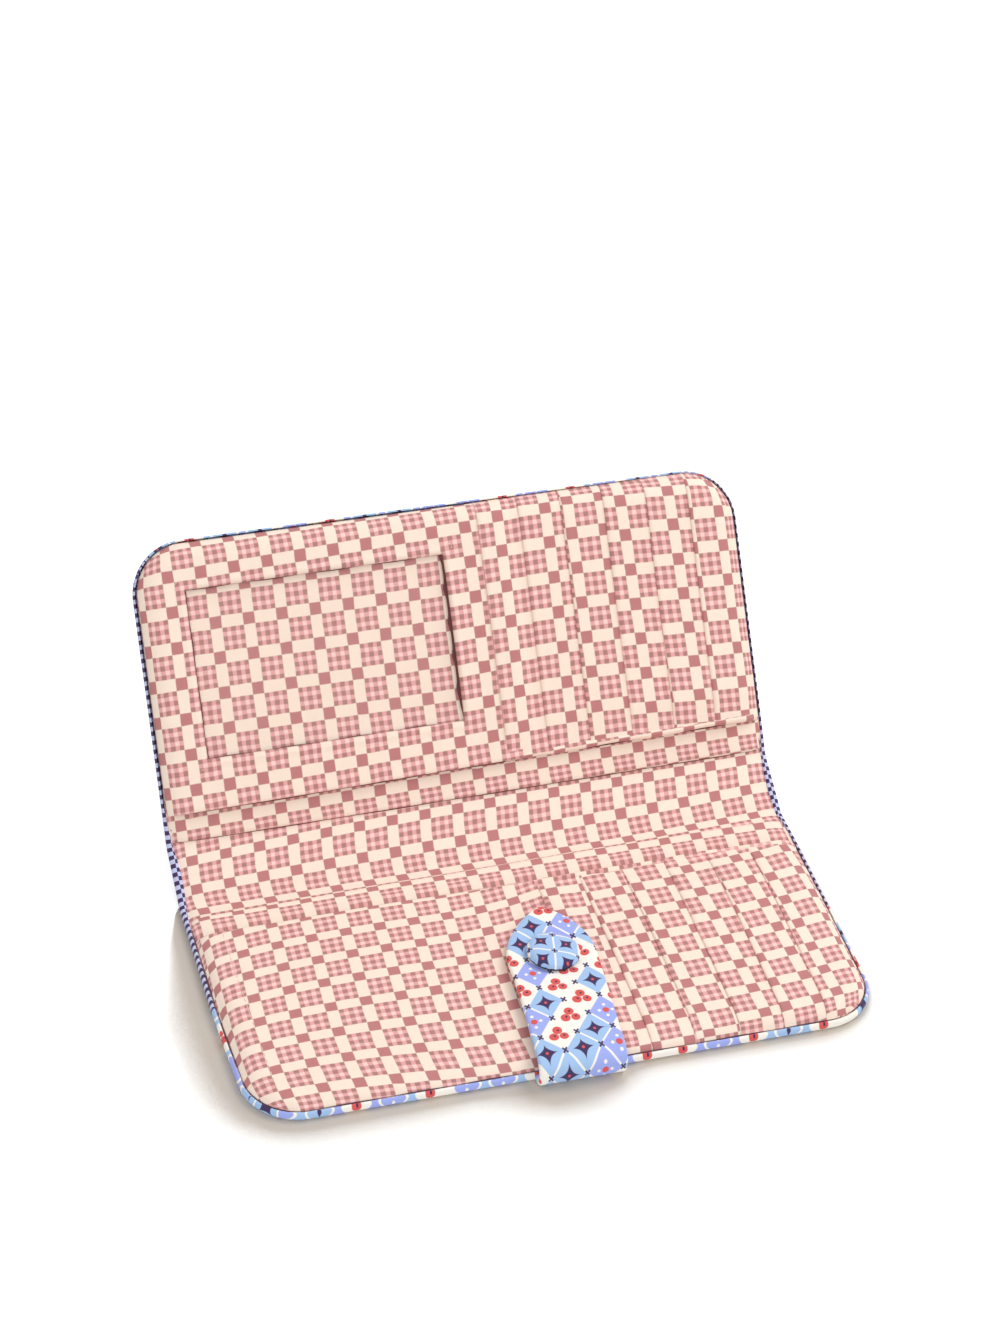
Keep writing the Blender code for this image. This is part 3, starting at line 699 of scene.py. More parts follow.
class Finish(Enum):
    """Every finish, with the record's slot that it belongs to."""

    CHECK = ("check_fabric", CheckCotton())
    PRINT = ("print_fabric", PrintCotton())
    FILM = ("window_film", ClearFilm())
    BATTING = ("batting", PlainStuff("batting", linear(238, 236, 230), 0.8, 900.0))
    BOARD = ("board", PlainStuff("board", linear(222, 220, 212), 0.7, 1500.0))
    METAL = ("snap_metal", PlainStuff("nickel", linear(214, 212, 206), 0.2, 2600.0, 1.0,
                                      0.01 * MM))
    ROSE_THREAD = ("check_fabric", PlainStuff("rose_thread", linear(246, 214, 204), 0.7, 4000.0))
    # painted shade: a dark cloth colour that stands for the shade in the window's slot and under
    # the pockets' open edges
    SLOT_SHADE = ("check_fabric", PlainStuff("slot_shade", linear(112, 62, 60), 0.8, 900.0))
    # painted shade: a dark colour that stands for the shade in the groove at the lower cover's
    # seam
    SEAM_SHADE = ("print_fabric", PlainStuff("seam_shade", linear(92, 66, 78), 0.8, 900.0))
    # painted shade: a dark colour that stands for the shade in the gap under the snap cap's edge
    RIM_SHADE = ("print_fabric", PlainStuff("rim_shade", linear(58, 52, 84), 0.7, 900.0))
    BLUE_THREAD = ("print_fabric", PlainStuff("blue_thread", linear(176, 188, 236), 0.7, 4000.0))

    def material(self) -> bpy.types.Material:
        """The finish's material, built on first use."""
        kind = self.value[1]
        return bpy.data.materials.get(kind.name) or kind.make()

    def dress(self, piece: Piece) -> None:
        """Give a piece this finish."""
        piece.data.materials.clear()
        piece.data.materials.append(self.material())


# ---------------------------------------------------------------- pieces of cloth


@dataclass(frozen=True)
class Lay:
    """How a fabric lies on a piece: its two coordinates, in repeats, as cubic curves of x and
    t in decimetres. Outside the stretch that shows, the cloth runs on straight."""

    across: tuple[float, ...] = (0.0, 9.766)
    along: tuple[float, ...] = (0.0, 0.0, 9.766)
    shown: tuple[float, float] = (-0.2, 0.2)
    run_on: float = 97.0

    def coordinates(self, x: Grid, t: Grid) -> Grid:
        """Fabric coordinates: the terms 1, x, t, xx, xt, tt, xxx, xxt, xtt and ttt times
        their shares, plus the straight run outside the stretch that shows.

        Args:
            x: Places across.
            t: Places along.

        Returns:
            Two coordinates for each place.
        """
        kept = np.clip(np.ravel(t), *self.shown)
        dx, dt = np.ravel(x) * 10.0, kept * 10.0
        terms = np.stack([np.ones_like(dx), dx, dt, dx * dx, dx * dt, dt * dt, dx ** 3,
                          dx * dx * dt, dx * dt * dt, dt ** 3], axis=-1)
        ways = [terms[:, :len(shares)] @ np.array(shares) for shares in (self.across, self.along)]
        ways[1] = ways[1] + (np.ravel(t) - kept) * self.run_on
        return np.stack(ways, axis=-1)


def straight_lay(x: float, t: float, turn: float = 0.0, slant: float = 0.0,
                 repeat_t: float = 10.24, bow: float = 0.0, repeat_x: float = 10.4) -> Lay:
    """A lay with straight stripes along, and nearly straight ones across.

    Args:
        x: Where a repeat starts across, in millimetres.
        t: Where it starts along, in millimetres.
        turn: Lean of the stripes that run along, in degrees.
        slant: Lean of the stripes that run across, in degrees.
        repeat_t: Length of a repeat along, in millimetres.
        bow: How many repeats the stripes gain 35 mm from the start.
        repeat_x: Length of a repeat across, in millimetres.

    Returns:
        The lay.
    """
    lean, tilt = math.tan(math.radians(turn)), math.tan(math.radians(slant))
    gain = bow / 35.0 ** 2
    across = ((-x - lean * t) / repeat_x, 100.0 / repeat_x, 100.0 * lean / repeat_x)
    along = ((-t + tilt * x) / repeat_t + gain * t * t, -100.0 * tilt / repeat_t,
             100.0 / repeat_t - 200.0 * gain * t, 0.0, 0.0, 1e4 * gain)
    return Lay(across, along)


def mesh_piece(name: str, points: Grid, faces: Grid, lay: Grid | None = None,
               caps: Sequence[Sequence[int]] = ()) -> Piece:
    """A mesh object from arrays.

    Args:
        name: The piece's name.
        points: Its corners, one row each.
        faces: Four corner numbers in a row for each face.
        lay: Fabric coordinates of the corners.
        caps: Faces with any number of corners.

    Returns:
        The object, smooth shaded and linked to the scene.
    """
    mesh = bpy.data.meshes.new(name)
    every = [list(map(int, face)) for face in faces.tolist()] + [list(cap) for cap in caps]
    mesh.from_pydata(points.tolist(), [], every)
    if lay is not None:
        corners = np.empty(len(mesh.loops), np.int32)
        mesh.loops.foreach_get("vertex_index", corners)
        mesh.uv_layers.new(name="Lay").data.foreach_set("uv", lay[corners].ravel())
    mesh.polygons.foreach_set("use_smooth", np.ones(len(mesh.polygons), bool))
    mesh.update()
    piece = bpy.data.objects.new(name, mesh)
    bpy.context.scene.collection.objects.link(piece)
    return piece


def grid_faces(rows: int, columns: int, first: int = 0) -> Grid:
    """Faces of a grid whose rows rise in t and columns in x, seen from above."""
    corner = first + np.arange(rows * columns).reshape(rows, columns)
    return np.stack([corner[:-1, :-1], corner[:-1, 1:], corner[1:, 1:], corner[1:, :-1]],
                    axis=-1).reshape(-1, 4)


def tube_faces(corner: Grid) -> Grid:
    """Faces between the rings of a tube, from its corner numbers with one ring in each row."""
    after = np.roll(corner, -1, axis=1)
    return np.stack([corner[:-1], corner[1:], after[1:], after[:-1]], axis=-1).reshape(-1, 4)


def middle_of(node: str) -> Vector:
    """The middle of a CAD node's box."""
    low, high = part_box(node)
    return (low + high) / 2


def bend_with_fold(piece: Piece, half: Half) -> None:
    """Bake a piece's transform into its mesh. The fold's start and end are looked up but not used.

    Args:
        piece: The piece.
        half: The cover whose fold it is.
    """
    start, stop = FORM.zone(half)
    if half is Half.LOWER:
        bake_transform(piece)
    else:
        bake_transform(piece)


def give_thickness(piece: Piece, thickness: float) -> None:
    """A Solidify modifier that grows the cloth behind its face."""
    solidify = piece.modifiers.new("cloth", "SOLIDIFY")
    solidify.thickness = thickness
    solidify.offset = -1.0


def cloth(name: str, x: Grid, t: Grid, h: Grid, lay: Lay, thickness: float,
          hole: Grid | None = None) -> Piece:
    """A sheet of check cotton that faces up, from its flat grids.

    Args:
        name: The piece's name.
        x: Places across, one row for each step along.
        t: Places along.
        h: Heights above the outside.
        lay: How the fabric lies on it.
        thickness: Thickness of the cloth.
        hole: True for each face of the grid that is cut out.

    Returns:
        The finished sheet.
    """
    x, t, h = np.broadcast_arrays(x, t, h)
    if t[0, 0] > t[-1, 0]:
        x, t, h = x[::-1], t[::-1], h[::-1]
        hole = None if hole is None else hole[::-1]
    faces = grid_faces(*x.shape)
    if hole is not None:
        faces = faces[~hole.ravel()]
    ax, at = run_down(x, t, h)
    piece = mesh_piece(name, FORM.place(x, t, settled(x, t, h)), faces, lay.coordinates(ax, at))
    give_thickness(piece, thickness)
    Finish.CHECK.dress(piece)
    return piece


def run_down(x: Grid, t: Grid, h: Grid) -> tuple[Grid, Grid]:
    """Places for the fabric's lay: where a sheet falls to the seam, the fall is added to the
    way out, so the check isn't stretched. The way out is the slope of the depth.

    Args:
        x: Places across.
        t: Places along.
        h: The sheet's heights.

    Returns:
        The places for the lay.
    """
    depth = FORM.depth_in(x, t)
    step = 0.2 * MM
    out_x = (FORM.depth_in(x - step, t) - FORM.depth_in(x + step, t)) / (2 * step)
    out_t = (FORM.depth_in(x, t - step) - FORM.depth_in(x, t + step)) / (2 * step)
    fall = np.clip(np.quantile(h, 0.85) - h, 0.0, 3.0 * MM) * smooth((6.0 * MM - depth)
                                                                     / (4.0 * MM))
    return x + out_x * fall, t + out_t * fall


def settled(x: Grid, t: Grid, h: Grid) -> Grid:
    """Height of a layer with the waves and the lower cover's crown, which both calm down at the
    outline: 1.1 mm in the middle of that cover, and none where the tab lies. Beside the seam
    the cloth puckers as a sine of x and t.

    Args:
        x: Places across.
        t: Places along.
        h: The layer's heights when laid even.

    Returns:
        The uneven heights.
    """
    depth = FORM.depth_in(x, t)
    calm = smooth(depth / (5.0 * MM))
    pucker = 0.12 * MM * np.sin((x + 1.1 * t) / (1.5 * MM) + np.sin(t / (8.0 * MM)))
    h = h + pucker * bump(depth, 3.2 * MM, 1.7 * MM)
    crown = 1.1 * MM * bump(t, -48.0 * MM, 28.0 * MM) * (1.0 - bump(x, 5.0 * MM, 24.0 * MM))
    waves = FORM.unevenness(x, t) * np.clip(h / (5.0 * MM), 0.0, 1.2)
    return h + (waves + crown) * calm


def puff(depth: Grid, reach: float) -> Grid:
    """A quarter of an ellipse: 0 at the seam and 1 from reach inside it."""
    share = np.clip(depth / reach, 0.0, 1.0)
    return np.sqrt(np.clip(1.0 - (1.0 - share) ** 2, 0.0, 1.0))


def turned_edge(distance: Grid, round_over: float = 0.5 * MM) -> Grid:
    """Height lost by a turned edge: a quarter circle over its first half millimetre."""
    share = np.clip(distance / round_over, 0.0, 1.0)
    return round_over * 0.8 * (1.0 - np.sqrt(1.0 - (1.0 - share) ** 2))


def stitch_row(name: str, x: Grid, t: Grid, height: Callable[[Grid, Grid], Grid],
               finish: Finish, pitch: float = 2.5 * MM, length: float = 1.9 * MM,
               radius: float = 0.13 * MM, outside: bool = False) -> Piece:
    """Stitches along a polyline of flat places.

    Each stitch is a short tube of four rings of six points whose ends dip into the cloth.

    Args:
        name: The piece's name.
        x: Places across of the polyline's points; a break in it is a NaN.
        t: Places along.
        height: The cloth's height at a place.
        finish: The thread.
        pitch: From one stitch to the next.
        length: Of a stitch.
        radius: Of the thread.
        outside: True where the cloth faces down.

    Returns:
        One object with all the stitches.
    """
    step = np.hypot(np.diff(x), np.diff(t))
    run = np.concatenate([[0.0], np.cumsum(np.nan_to_num(step))])
    solid = ~np.isnan(x)
    middles = np.arange(pitch / 2, run[-1] - pitch / 2, pitch)
    ends = middles[:, None] + np.array([-0.5, 0.5]) * length
    gap = np.isnan(np.interp(ends, run, np.where(solid, 0.0, np.nan))).any(axis=1)
    ends = ends[~gap]
    sx = np.interp(ends, run[solid], x[solid])
    st = np.interp(ends, run[solid], t[solid])
    rings = np.array([0.0, 0.3, 0.7, 1.0])
    rise = np.array([-0.7, 0.5, 0.5, -0.7]) * radius
    swell = np.array([0.6, 1.0, 1.0, 0.6]) * radius
    px = sx[:, :1] + (sx[:, 1:] - sx[:, :1]) * rings
    pt = st[:, :1] + (st[:, 1:] - st[:, :1]) * rings
    side = -1.0 if outside else 1.0
    ph = height(px, pt) + side * rise
    ph = ph if outside else settled(px, pt, ph)
    dx, dt = (sx[:, 1:] - sx[:, :1]) / length, (st[:, 1:] - st[:, :1]) / length
    spokes = 6
    turn = np.arange(spokes) * math.tau / spokes
    cos, sin = np.cos(turn)[None, None, :], np.sin(turn)[None, None, :]
    size = swell[None, :, None]
    points = FORM.place(px[..., None] - dt[..., None] * cos * size,
                        pt[..., None] + dx[..., None] * cos * size,
                        ph[..., None] + sin * size)
    first = (np.arange(len(ends)) * spokes * len(rings))[:, None, None]
    ring = first + (np.arange(len(rings) - 1) * spokes)[None, :, None]
    spoke = np.arange(spokes)[None, None, :]
    after = (spoke + 1) % spokes
    faces = np.stack([ring + spoke, ring + after, ring + spokes + after,
                      ring + spokes + spoke], axis=-1).reshape(-1, 4)
    first = first[:, :, 0]
    caps = np.concatenate([first + np.arange(spokes)[::-1],
                           first + (len(rings) - 1) * spokes + np.arange(spokes)])
    piece = mesh_piece(name, points, faces, None, caps.tolist())
    finish.dress(piece)
    outward(piece)
    return piece


def inflate(points: Grid, faces: Grid, pinned: Grid, limit: float,
            pressure: float = 4.0) -> Grid:
    """Blow up a sewn skin with Blender's Cloth, ten times enlarged, for twenty frames.

    Args:
        points: The skin's corners.
        faces: Its faces, with normals towards the side that swells.
        pinned: Which corners are sewn down.
        limit: The furthest that a corner may move.
        pressure: The air's force.

    Returns:
        The corners afterwards.
    """
    enlarged, frames = 10.0, 20
    skin = mesh_piece("skin", points * enlarged, faces)
    group = skin.vertex_groups.new(name="sewn")
    group.add(np.flatnonzero(pinned).tolist(), 1.0, "REPLACE")
    cloth_modifier = skin.modifiers.new("pad", "CLOTH")
    settings = cloth_modifier.settings
    settings.vertex_group_mass = "sewn"
    settings.quality = 6
    settings.use_pressure = True
    settings.uniform_pressure_force = pressure
    settings.effector_weights.gravity = 0.0
    scene = bpy.context.scene
    for number in range(1, frames + 1):
        scene.frame_set(number)
    swollen = skin.evaluated_get(bpy.context.evaluated_depsgraph_get())
    after = np.empty(len(points) * 3)
    swollen.data.vertices.foreach_get("co", after)
    moved = after.reshape(-1, 3) / enlarged - points
    length = np.linalg.norm(moved, axis=1, keepdims=True)
    LOG.info("simulated %d corners, at most %.2f mm", len(points), length.max() / MM)
    bpy.data.objects.remove(skin)
    scene.frame_set(1)
    return points + moved * np.minimum(1.0, limit / np.maximum(length, 1e-9))


def outward(piece: Piece) -> None:
    """Turn the faces of a piece made of closed shells outwards.

    Args:
        piece: A mesh of closed shells.
    """
    shape = bmesh.new()
    shape.from_mesh(piece.data)
    bmesh.ops.recalc_face_normals(shape, faces=shape.faces)
    shape.to_mesh(piece.data)
    shape.free()


# ---------------------------------------------------------------- the outside


@dataclass
class QuiltedOutside:
    """The print cotton round the outside, quilted in diamonds, rolled up over every edge to
    the seam. It is two pieces that meet in the middle of the spine."""

    field_inset: float = 1.7 * MM
    line_x: float = 15.9 * MM
    line_t: float = 15.55 * MM
    groove: float = 0.62 * MM
    cloth: float = 0.3 * MM
    roll: tuple[tuple[float, float], ...] = (
        (1.20, 0.02), (0.80, 0.12), (0.42, 0.34), (0.16, 0.70), (0.02, 1.20), (0.0, 1.70),
        (0.06, 2.15), (0.22, 2.55), (0.46, 2.85), (0.70, 2.95), (0.90, 2.84), (1.02, 2.56),
        (1.06, 2.15))
    made: dict[Half, Piece] = field(default_factory=dict)

    def to_line(self, x: Grid, t: Grid) -> Grid:
        """Distance from the nearest quilting line, of two slanting families."""
        slope = 1.0 / math.hypot(1.0 / self.line_x, 1.0 / self.line_t)
        ways = [(x / self.line_x + sign * (t - 10.0 * MM) / self.line_t) for sign in (1, -1)]
        return slope * np.minimum(*[np.abs(way - np.round(way)) for way in ways])

    def calm(self, x: Grid, t: Grid) -> Grid:
        """How much of the quilting is left: none at the rolled edge, all from 5 mm inside."""
        return smooth((FORM.depth_in(x, t) - self.field_inset) / (5.0 * MM))

    def height(self, x: Grid, t: Grid) -> Grid:
        """Height of the cloth's outer face: it rises into the wallet at each line, three parts
        as a falling power of e and one part as a bell, and calms down towards the edge."""
        away = self.to_line(x, t)
        pinch = np.exp(-away / (1.5 * MM)) * 0.75 + 0.25 * bump(away, 0.0, 4.0 * MM)
        return self.groove * pinch * self.calm(x, t)

    def puffed(self, x: Grid, t: Grid, faces: Grid) -> Grid:
        """Height of the outer face with simulated puffs between the quilting lines.

        The skin starts nearly flat inside the groove's depth, sewn down along the lines and
        round the border, and swells outwards to the floor at most. A falling power of e eases
        it into each line.

        Args:
            x: Places across.
            t: Places along.
            faces: The field's faces.

        Returns:
            The heights.
        """
        plain = self.height(x, t)
        away = self.to_line(x, t)
        calm = self.calm(x, t)
        start = self.groove * calm * (0.8 + 0.2 * bump(away, 0.0, 2.0 * MM))
        sewn = (away < 0.75 * MM) | (calm <= 0.02)
        flat = np.stack([x, t, start], axis=-1).reshape(-1, 3)
        swollen = inflate(flat, faces, sewn.ravel(), self.groove)[:, 2].reshape(x.shape)
        ease = np.exp(-away / (0.9 * MM))
        return np.clip(swollen, 0.0, self.groove) * (1.0 - ease) + plain * ease

    def build(self) -> None:
        """Both halves of the outside."""
        for half, knots in ((Half.LOWER, (FORM.front + self.field_inset, FORM.front + FORM.corner,
                                          -FORM.reach, FORM.reach, FORM.spine / 2)),
                            (Half.UPPER, (FORM.spine / 2, FORM.spine - FORM.reach,
                                          FORM.spine + FORM.reach, FORM.back - FORM.corner,
                                          FORM.back - self.field_inset))):
            self.made[half] = self.half_piece(half, knots)

    def half_piece(self, half: Half, knots: Sequence[float]) -> Piece:
        """One half: a field on a grid, and a roll that is a profile carried along its border.

        Args:
            half: Which cover it belongs to.
            knots: Places along that its rows keep.

        Returns:
            The finished piece.
        """
        wide = FORM.half_width - self.field_inset
        t = graded(knots, 1.35 * MM)[:, None]
        x = graded((-wide, -FORM.half_width + FORM.corner, 0.0,
                    FORM.half_width - FORM.corner, wide), 1.35 * MM)[None, :]
        x = FORM.squeeze(x, t, self.field_inset)
        t = np.broadcast_to(t, x.shape)
        rows, columns = x.shape
        field_faces = grid_faces(rows, columns)[:, ::-1]
        corner = np.arange(rows * columns).reshape(rows, columns)
        if half is Half.LOWER:
            border = np.concatenate([corner[::-1, 0], corner[0, 1:-1], corner[:, -1]])
        else:
            border = np.concatenate([corner[:, -1], corner[-1, -2:0:-1], corner[::-1, 0]])
        bx, bt = x.ravel()[border], t.ravel()[border]
        beside = np.abs(bx) - (FORM.half_width - FORM.corner)
        past = FORM.past_corner(bt)
        round_it = (beside > 0.0) & (past > 1e-9)
        flat_end = (~round_it) & (past > 1e-9)
        end = -1.0 if half is Half.LOWER else 1.0
        nx = np.where(round_it, np.sign(bx) * beside, np.where(flat_end, 0.0, np.sign(bx)))
        nt = np.where(round_it, end * past, np.where(flat_end, end, 0.0))
        size = np.hypot(nx, nt)
        nx, nt = nx / size, nt / size
        roll = np.array(self.roll) * MM
        draw = FORM.seam_in(bt) / FORM.seam_inset
        inset = roll[:, :1] * np.where(roll[:, 1:] > 2.0 * MM, draw, 1.0)
        rx = bx + nx * (self.field_inset - inset)
        rt = bt + nt * (self.field_inset - inset)
        rh = np.broadcast_to(roll[:, 1:], rx.shape)
        flat_x = np.concatenate([x.ravel(), rx.ravel()])
        flat_t = np.concatenate([t.ravel(), rt.ravel()])
        flat_h = np.concatenate([self.puffed(x, t, field_faces).ravel(), rh.ravel()])
        first = rows * columns + np.arange(len(roll) * len(border)).reshape(len(roll), -1)
        rings = np.concatenate([border[None, :], first])
        roll_faces = np.stack([rings[:-1, :-1], rings[:-1, 1:], rings[1:, 1:], rings[1:, :-1]],
                              axis=-1).reshape(-1, 4)
        spread = roll[:, 1:] * 0.7
        lay = straight_lay(0.0, 2.0, repeat_t=10.0, repeat_x=10.0).coordinates(
            np.concatenate([x.ravel(), (rx + nx * spread).ravel()]),
            np.concatenate([t.ravel(), (rt + nt * spread).ravel()]))
        piece = mesh_piece(f"{half.value}_quilted_outside", FORM.place(flat_x, flat_t, flat_h),
                           np.concatenate([field_faces, roll_faces]), lay)
        give_thickness(piece, self.cloth)
        Finish.PRINT.dress(piece)
        bend_with_fold(piece, half)
        if half is Half.LOWER:
            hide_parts("lower_outer_cover", "spine_outer")
        else:
            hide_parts("upper_outer_cover")
        return piece

    def stitch(self) -> None:
        """Quilting thread along both families of lines, on each body's own stretch."""
        for label, low, high, body in (
                ("lower", FORM.front + 4.0 * MM, -4.0 * MM, "lower_cover"),
                ("spine", 4.5 * MM, FORM.spine - 4.5 * MM, "spine"),
                ("upper", FORM.spine + 4.0 * MM, FORM.back - 4.0 * MM, "upper_cover")):
            xs, ts = [], []
            for sign in (1.0, -1.0):
                for number in range(-14, 15):
                    t = np.linspace(low, high, 60)
                    x = (number - sign * (t - 10.0 * MM) / self.line_t) * self.line_x
                    x = np.where(FORM.depth_in(x, t) > 4.6 * MM, x, np.nan)
                    if np.isfinite(x).sum() > 3:
                        xs += [x, [np.nan]]
                        ts += [t, [t[-1]]]
            piece = broken_stitches(f"{label}_quilting", xs, ts, self.height, Finish.BLUE_THREAD)
            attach(piece, body)


def broken_stitches(name: str, xs: Sequence[Grid], ts: Sequence[Grid],
                    height: Callable[[Grid, Grid], Grid], finish: Finish) -> Piece:
    """Stitches along many lines in one piece: each line is laid and the meshes are joined.

    Args:
        name: The piece's name.
        xs: Places across of each line, NaN at its breaks.
        ts: Places along of each line.
        height: The cloth's height at a place.
        finish: The thread.

    Returns:
        One object with all the stitches.
    """
    parts = []
    for x, t in zip(xs, ts):
        x = np.asarray(x, float)
        kept = np.isfinite(x)
        if kept.sum() < 3:
            continue
        line = stitch_row(f"{name}_line", x[kept], np.asarray(t)[kept], height, finish,
                          outside=True)
        parts.append(line)
    with bpy.context.temp_override(active_object=parts[0], selected_editable_objects=parts):
        bpy.ops.object.join()
    parts[0].name = parts[0].data.name = name
    return parts[0]


# ---------------------------------------------------------------- linings and pockets


@dataclass(frozen=True)
class OpenEdge:
    """The open edge of a pocket: its distance from the fold at the left, middle and right."""

    left: float
    middle: float
    right: float

    def at(self, x: Grid) -> Grid:
        """The distance at x, on the parabola through the three."""
        share = x / FORM.half_width
        slope, bow = (self.right - self.left) / 2, (self.right + self.left) / 2 - self.middle
        return self.middle + slope * share + bow * share ** 2


@dataclass(frozen=True)
class Layer:
    """One full-width layer of pocket cloth on a cover."""

    half: Half
    name: str
    level: float
    edge: OpenEdge
    lay: Lay
    inset: float = 1.0 * MM
    hidden_inset: float = 2.2 * MM
    shows: float = 200.0 * MM
    thickness: float = 0.4 * MM
    reach: float = 6.0 * MM

    def border(self, s: Grid) -> Grid:
        """Inset of the border at s: more where other layers hide it."""
        t = FORM.along(self.half, s)
        extra = FORM.seam_in(t) - FORM.seam_inset
        hidden = smooth((s - self.shows) / (4.0 * MM))
        return self.inset + extra + (self.hidden_inset - self.inset) * hidden

    def height(self, x: Grid, t: Grid) -> Grid:
        """Height of the face: from the seam up to the level along a quarter ellipse, with a
        small hem ridge and a turned edge at the opening.

        Args:
            x: Places across.
            t: Places along.

        Returns:
            The heights.
        """
        s = FORM.from_fold(self.half, t)
        rise = puff(FORM.depth_in(x, t) - self.border(s) - FORM.groove, self.reach)
        open_by = s - self.edge.at(x)
        ridge = 0.16 * MM * (1.0 - smooth((open_by - 2.0 * MM) / (1.4 * MM)))
        groove = 0.14 * MM * bump(open_by, 3.0 * MM, 0.5 * MM)
        seam = FORM.seam_height
        return seam + (self.level - seam + ridge - groove) * rise - turned_edge(open_by)

    def grids(self, columns: Grid, rows: Grid, keep: float = 75.0 * MM) -> tuple[Grid, Grid]:
        """Flat grids from the open edge to the free edge.

        Args:
            columns: Places across at full width.
            rows: Shares of the way from the open edge to the free edge.
            keep: Where the fitting into the outline starts.

        Returns:
            The x and t of each point.
        """
        end = FORM.cover_depth - self.border(np.array(FORM.cover_depth))
        edge = self.edge.at(columns)[None, :]
        s = edge + (end - edge) * rows[:, None]
        t = FORM.along(self.half, s)
        return FORM.squeeze(columns[None, :], t, self.border(s), keep), t


@dataclass
class Lining:
    """The check lining across both covers and the spine, in two pieces that meet mid-spine."""

    level: float = 3.25 * MM
    thickness: float = 0.35 * MM
    lay: Lay = Lay(
        (-0.324, 9.726, 0.561, -0.027, 0.244, -11.559, -0.014, 0.735, -0.963, 19.374),
        (0.28, -0.101, 10.695, -0.097, 0.294, -11.128, -0.177, 1.586, -3.198, 28.763),
        (-3.0 * MM, 19.0 * MM))

    def height(self, x: Grid, t: Grid) -> Grid:
        """Height of the face: the quarter ellipse at the seam, and low creases at the folds."""
        rise = puff(FORM.depth_in(x, t) - FORM.seam_in(t) - FORM.groove, 5.0 * MM)
        crease = 0.16 * MM * np.sin(t / (2.1 * MM) + 0.8 * np.sin(x / (23.0 * MM)))
        crease = crease * smooth(1.0 - np.abs(t - 8.0 * MM) / (17.0 * MM))
        return FORM.seam_height + (self.level + crease - FORM.seam_height) * rise

    def build(self) -> None:
        """Both pieces."""
        inset = FORM.seam_inset
        for half, knots in ((Half.LOWER, (FORM.front + 2.0 * MM, FORM.front + FORM.corner,
                                          -8.0 * MM, FORM.spine / 2)),
                            (Half.UPPER, (FORM.spine / 2, FORM.spine + 8.0 * MM,
                                          FORM.back - FORM.corner, FORM.back - 2.0 * MM))):
            t = graded(knots, 1.4 * MM)[:, None]
            wide = FORM.half_width - inset
            x = graded((-wide, -60.0 * MM, 60.0 * MM, wide), 2.0 * MM)[None, :]
            hidden = smooth((np.abs(t - FORM.spine / 2) - 24.0 * MM) / (5.0 * MM))
            border = FORM.seam_in(t) + 1.2 * MM * hidden
            x = FORM.squeeze(x, t, border)
            drop = 0.25 * MM * hidden
            piece = cloth(f"{half.value}_lining_cloth", x, t, self.height(x, t) - drop, self.lay,
                          self.thickness)
            bend_with_fold(piece, half)
            if half is Half.LOWER:
                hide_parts("lower_lining", "spine_lining")
            else:
                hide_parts("upper_lining")
            LOG.info("%s", piece.name)


@dataclass
class SeamPaintedShade:
    """A thin dark tube in the groove between the rolled edge and the lower cover's lining: painted
    shade for the groove.
    """

    inset: float = 1.27 * MM
    level: float = 2.78 * MM
    radius: float = 0.13 * MM
    from_fold: float = 8.0 * MM
    spokes: int = 7

    def build(self) -> None:
        """A round tube along the border, thicker and thinner as a sine of its run."""
        side, corner = FORM.half_width - self.inset, FORM.corner - self.inset
        middle = FORM.half_width - FORM.corner
        down = np.linspace(-self.from_fold, FORM.front + FORM.corner, 60)
        turn = np.linspace(0.0, math.pi / 2, 20)[1:]
        front = np.linspace(-middle, middle, 120)[1:-1]
        x = np.concatenate([np.full(len(down), -side), -middle - corner * np.cos(turn), front,
                            (middle + corner * np.cos(turn))[::-1], np.full(len(down), side)])
        t = np.concatenate([down, FORM.front + FORM.corner - corner * np.sin(turn),
                            np.full(len(front), FORM.front + self.inset),
                            (FORM.front + FORM.corner - corner * np.sin(turn))[::-1], down[::-1]])
        run = np.concatenate([[0.0], np.cumsum(np.hypot(np.diff(x), np.diff(t)))])
        thick = self.radius * (1.0 + 0.55 * np.sin(run / (3.7 * MM)
                                                   + 1.2 * np.sin(run / (21.0 * MM))))
        thick = thick * smooth(np.minimum(run, run[-1] - run) / (10.0 * MM)) + 0.01 * MM
        way = np.stack([np.gradient(x, run), np.gradient(t, run)])
        way = way / np.linalg.norm(way, axis=0)
        around = np.arange(self.spokes)[None, :] * math.tau / self.spokes
        out = thick[:, None] * np.cos(around)
        points = FORM.place(x[:, None] + way[1][:, None] * out, t[:, None] - way[0][:, None] * out,
                            self.level + thick[:, None] * np.sin(around))
        corner_of = np.arange(len(run) * self.spokes).reshape(len(run), self.spokes)
        piece = mesh_piece("lower_seam_painted_shade", points, tube_faces(corner_of), None,
                           [corner_of[0].tolist(), corner_of[-1, ::-1].tolist()])
        outward(piece)
        Finish.SEAM_SHADE.dress(piece)
        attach(piece, "lower_cover")
        LOG.info("%s", piece.name)


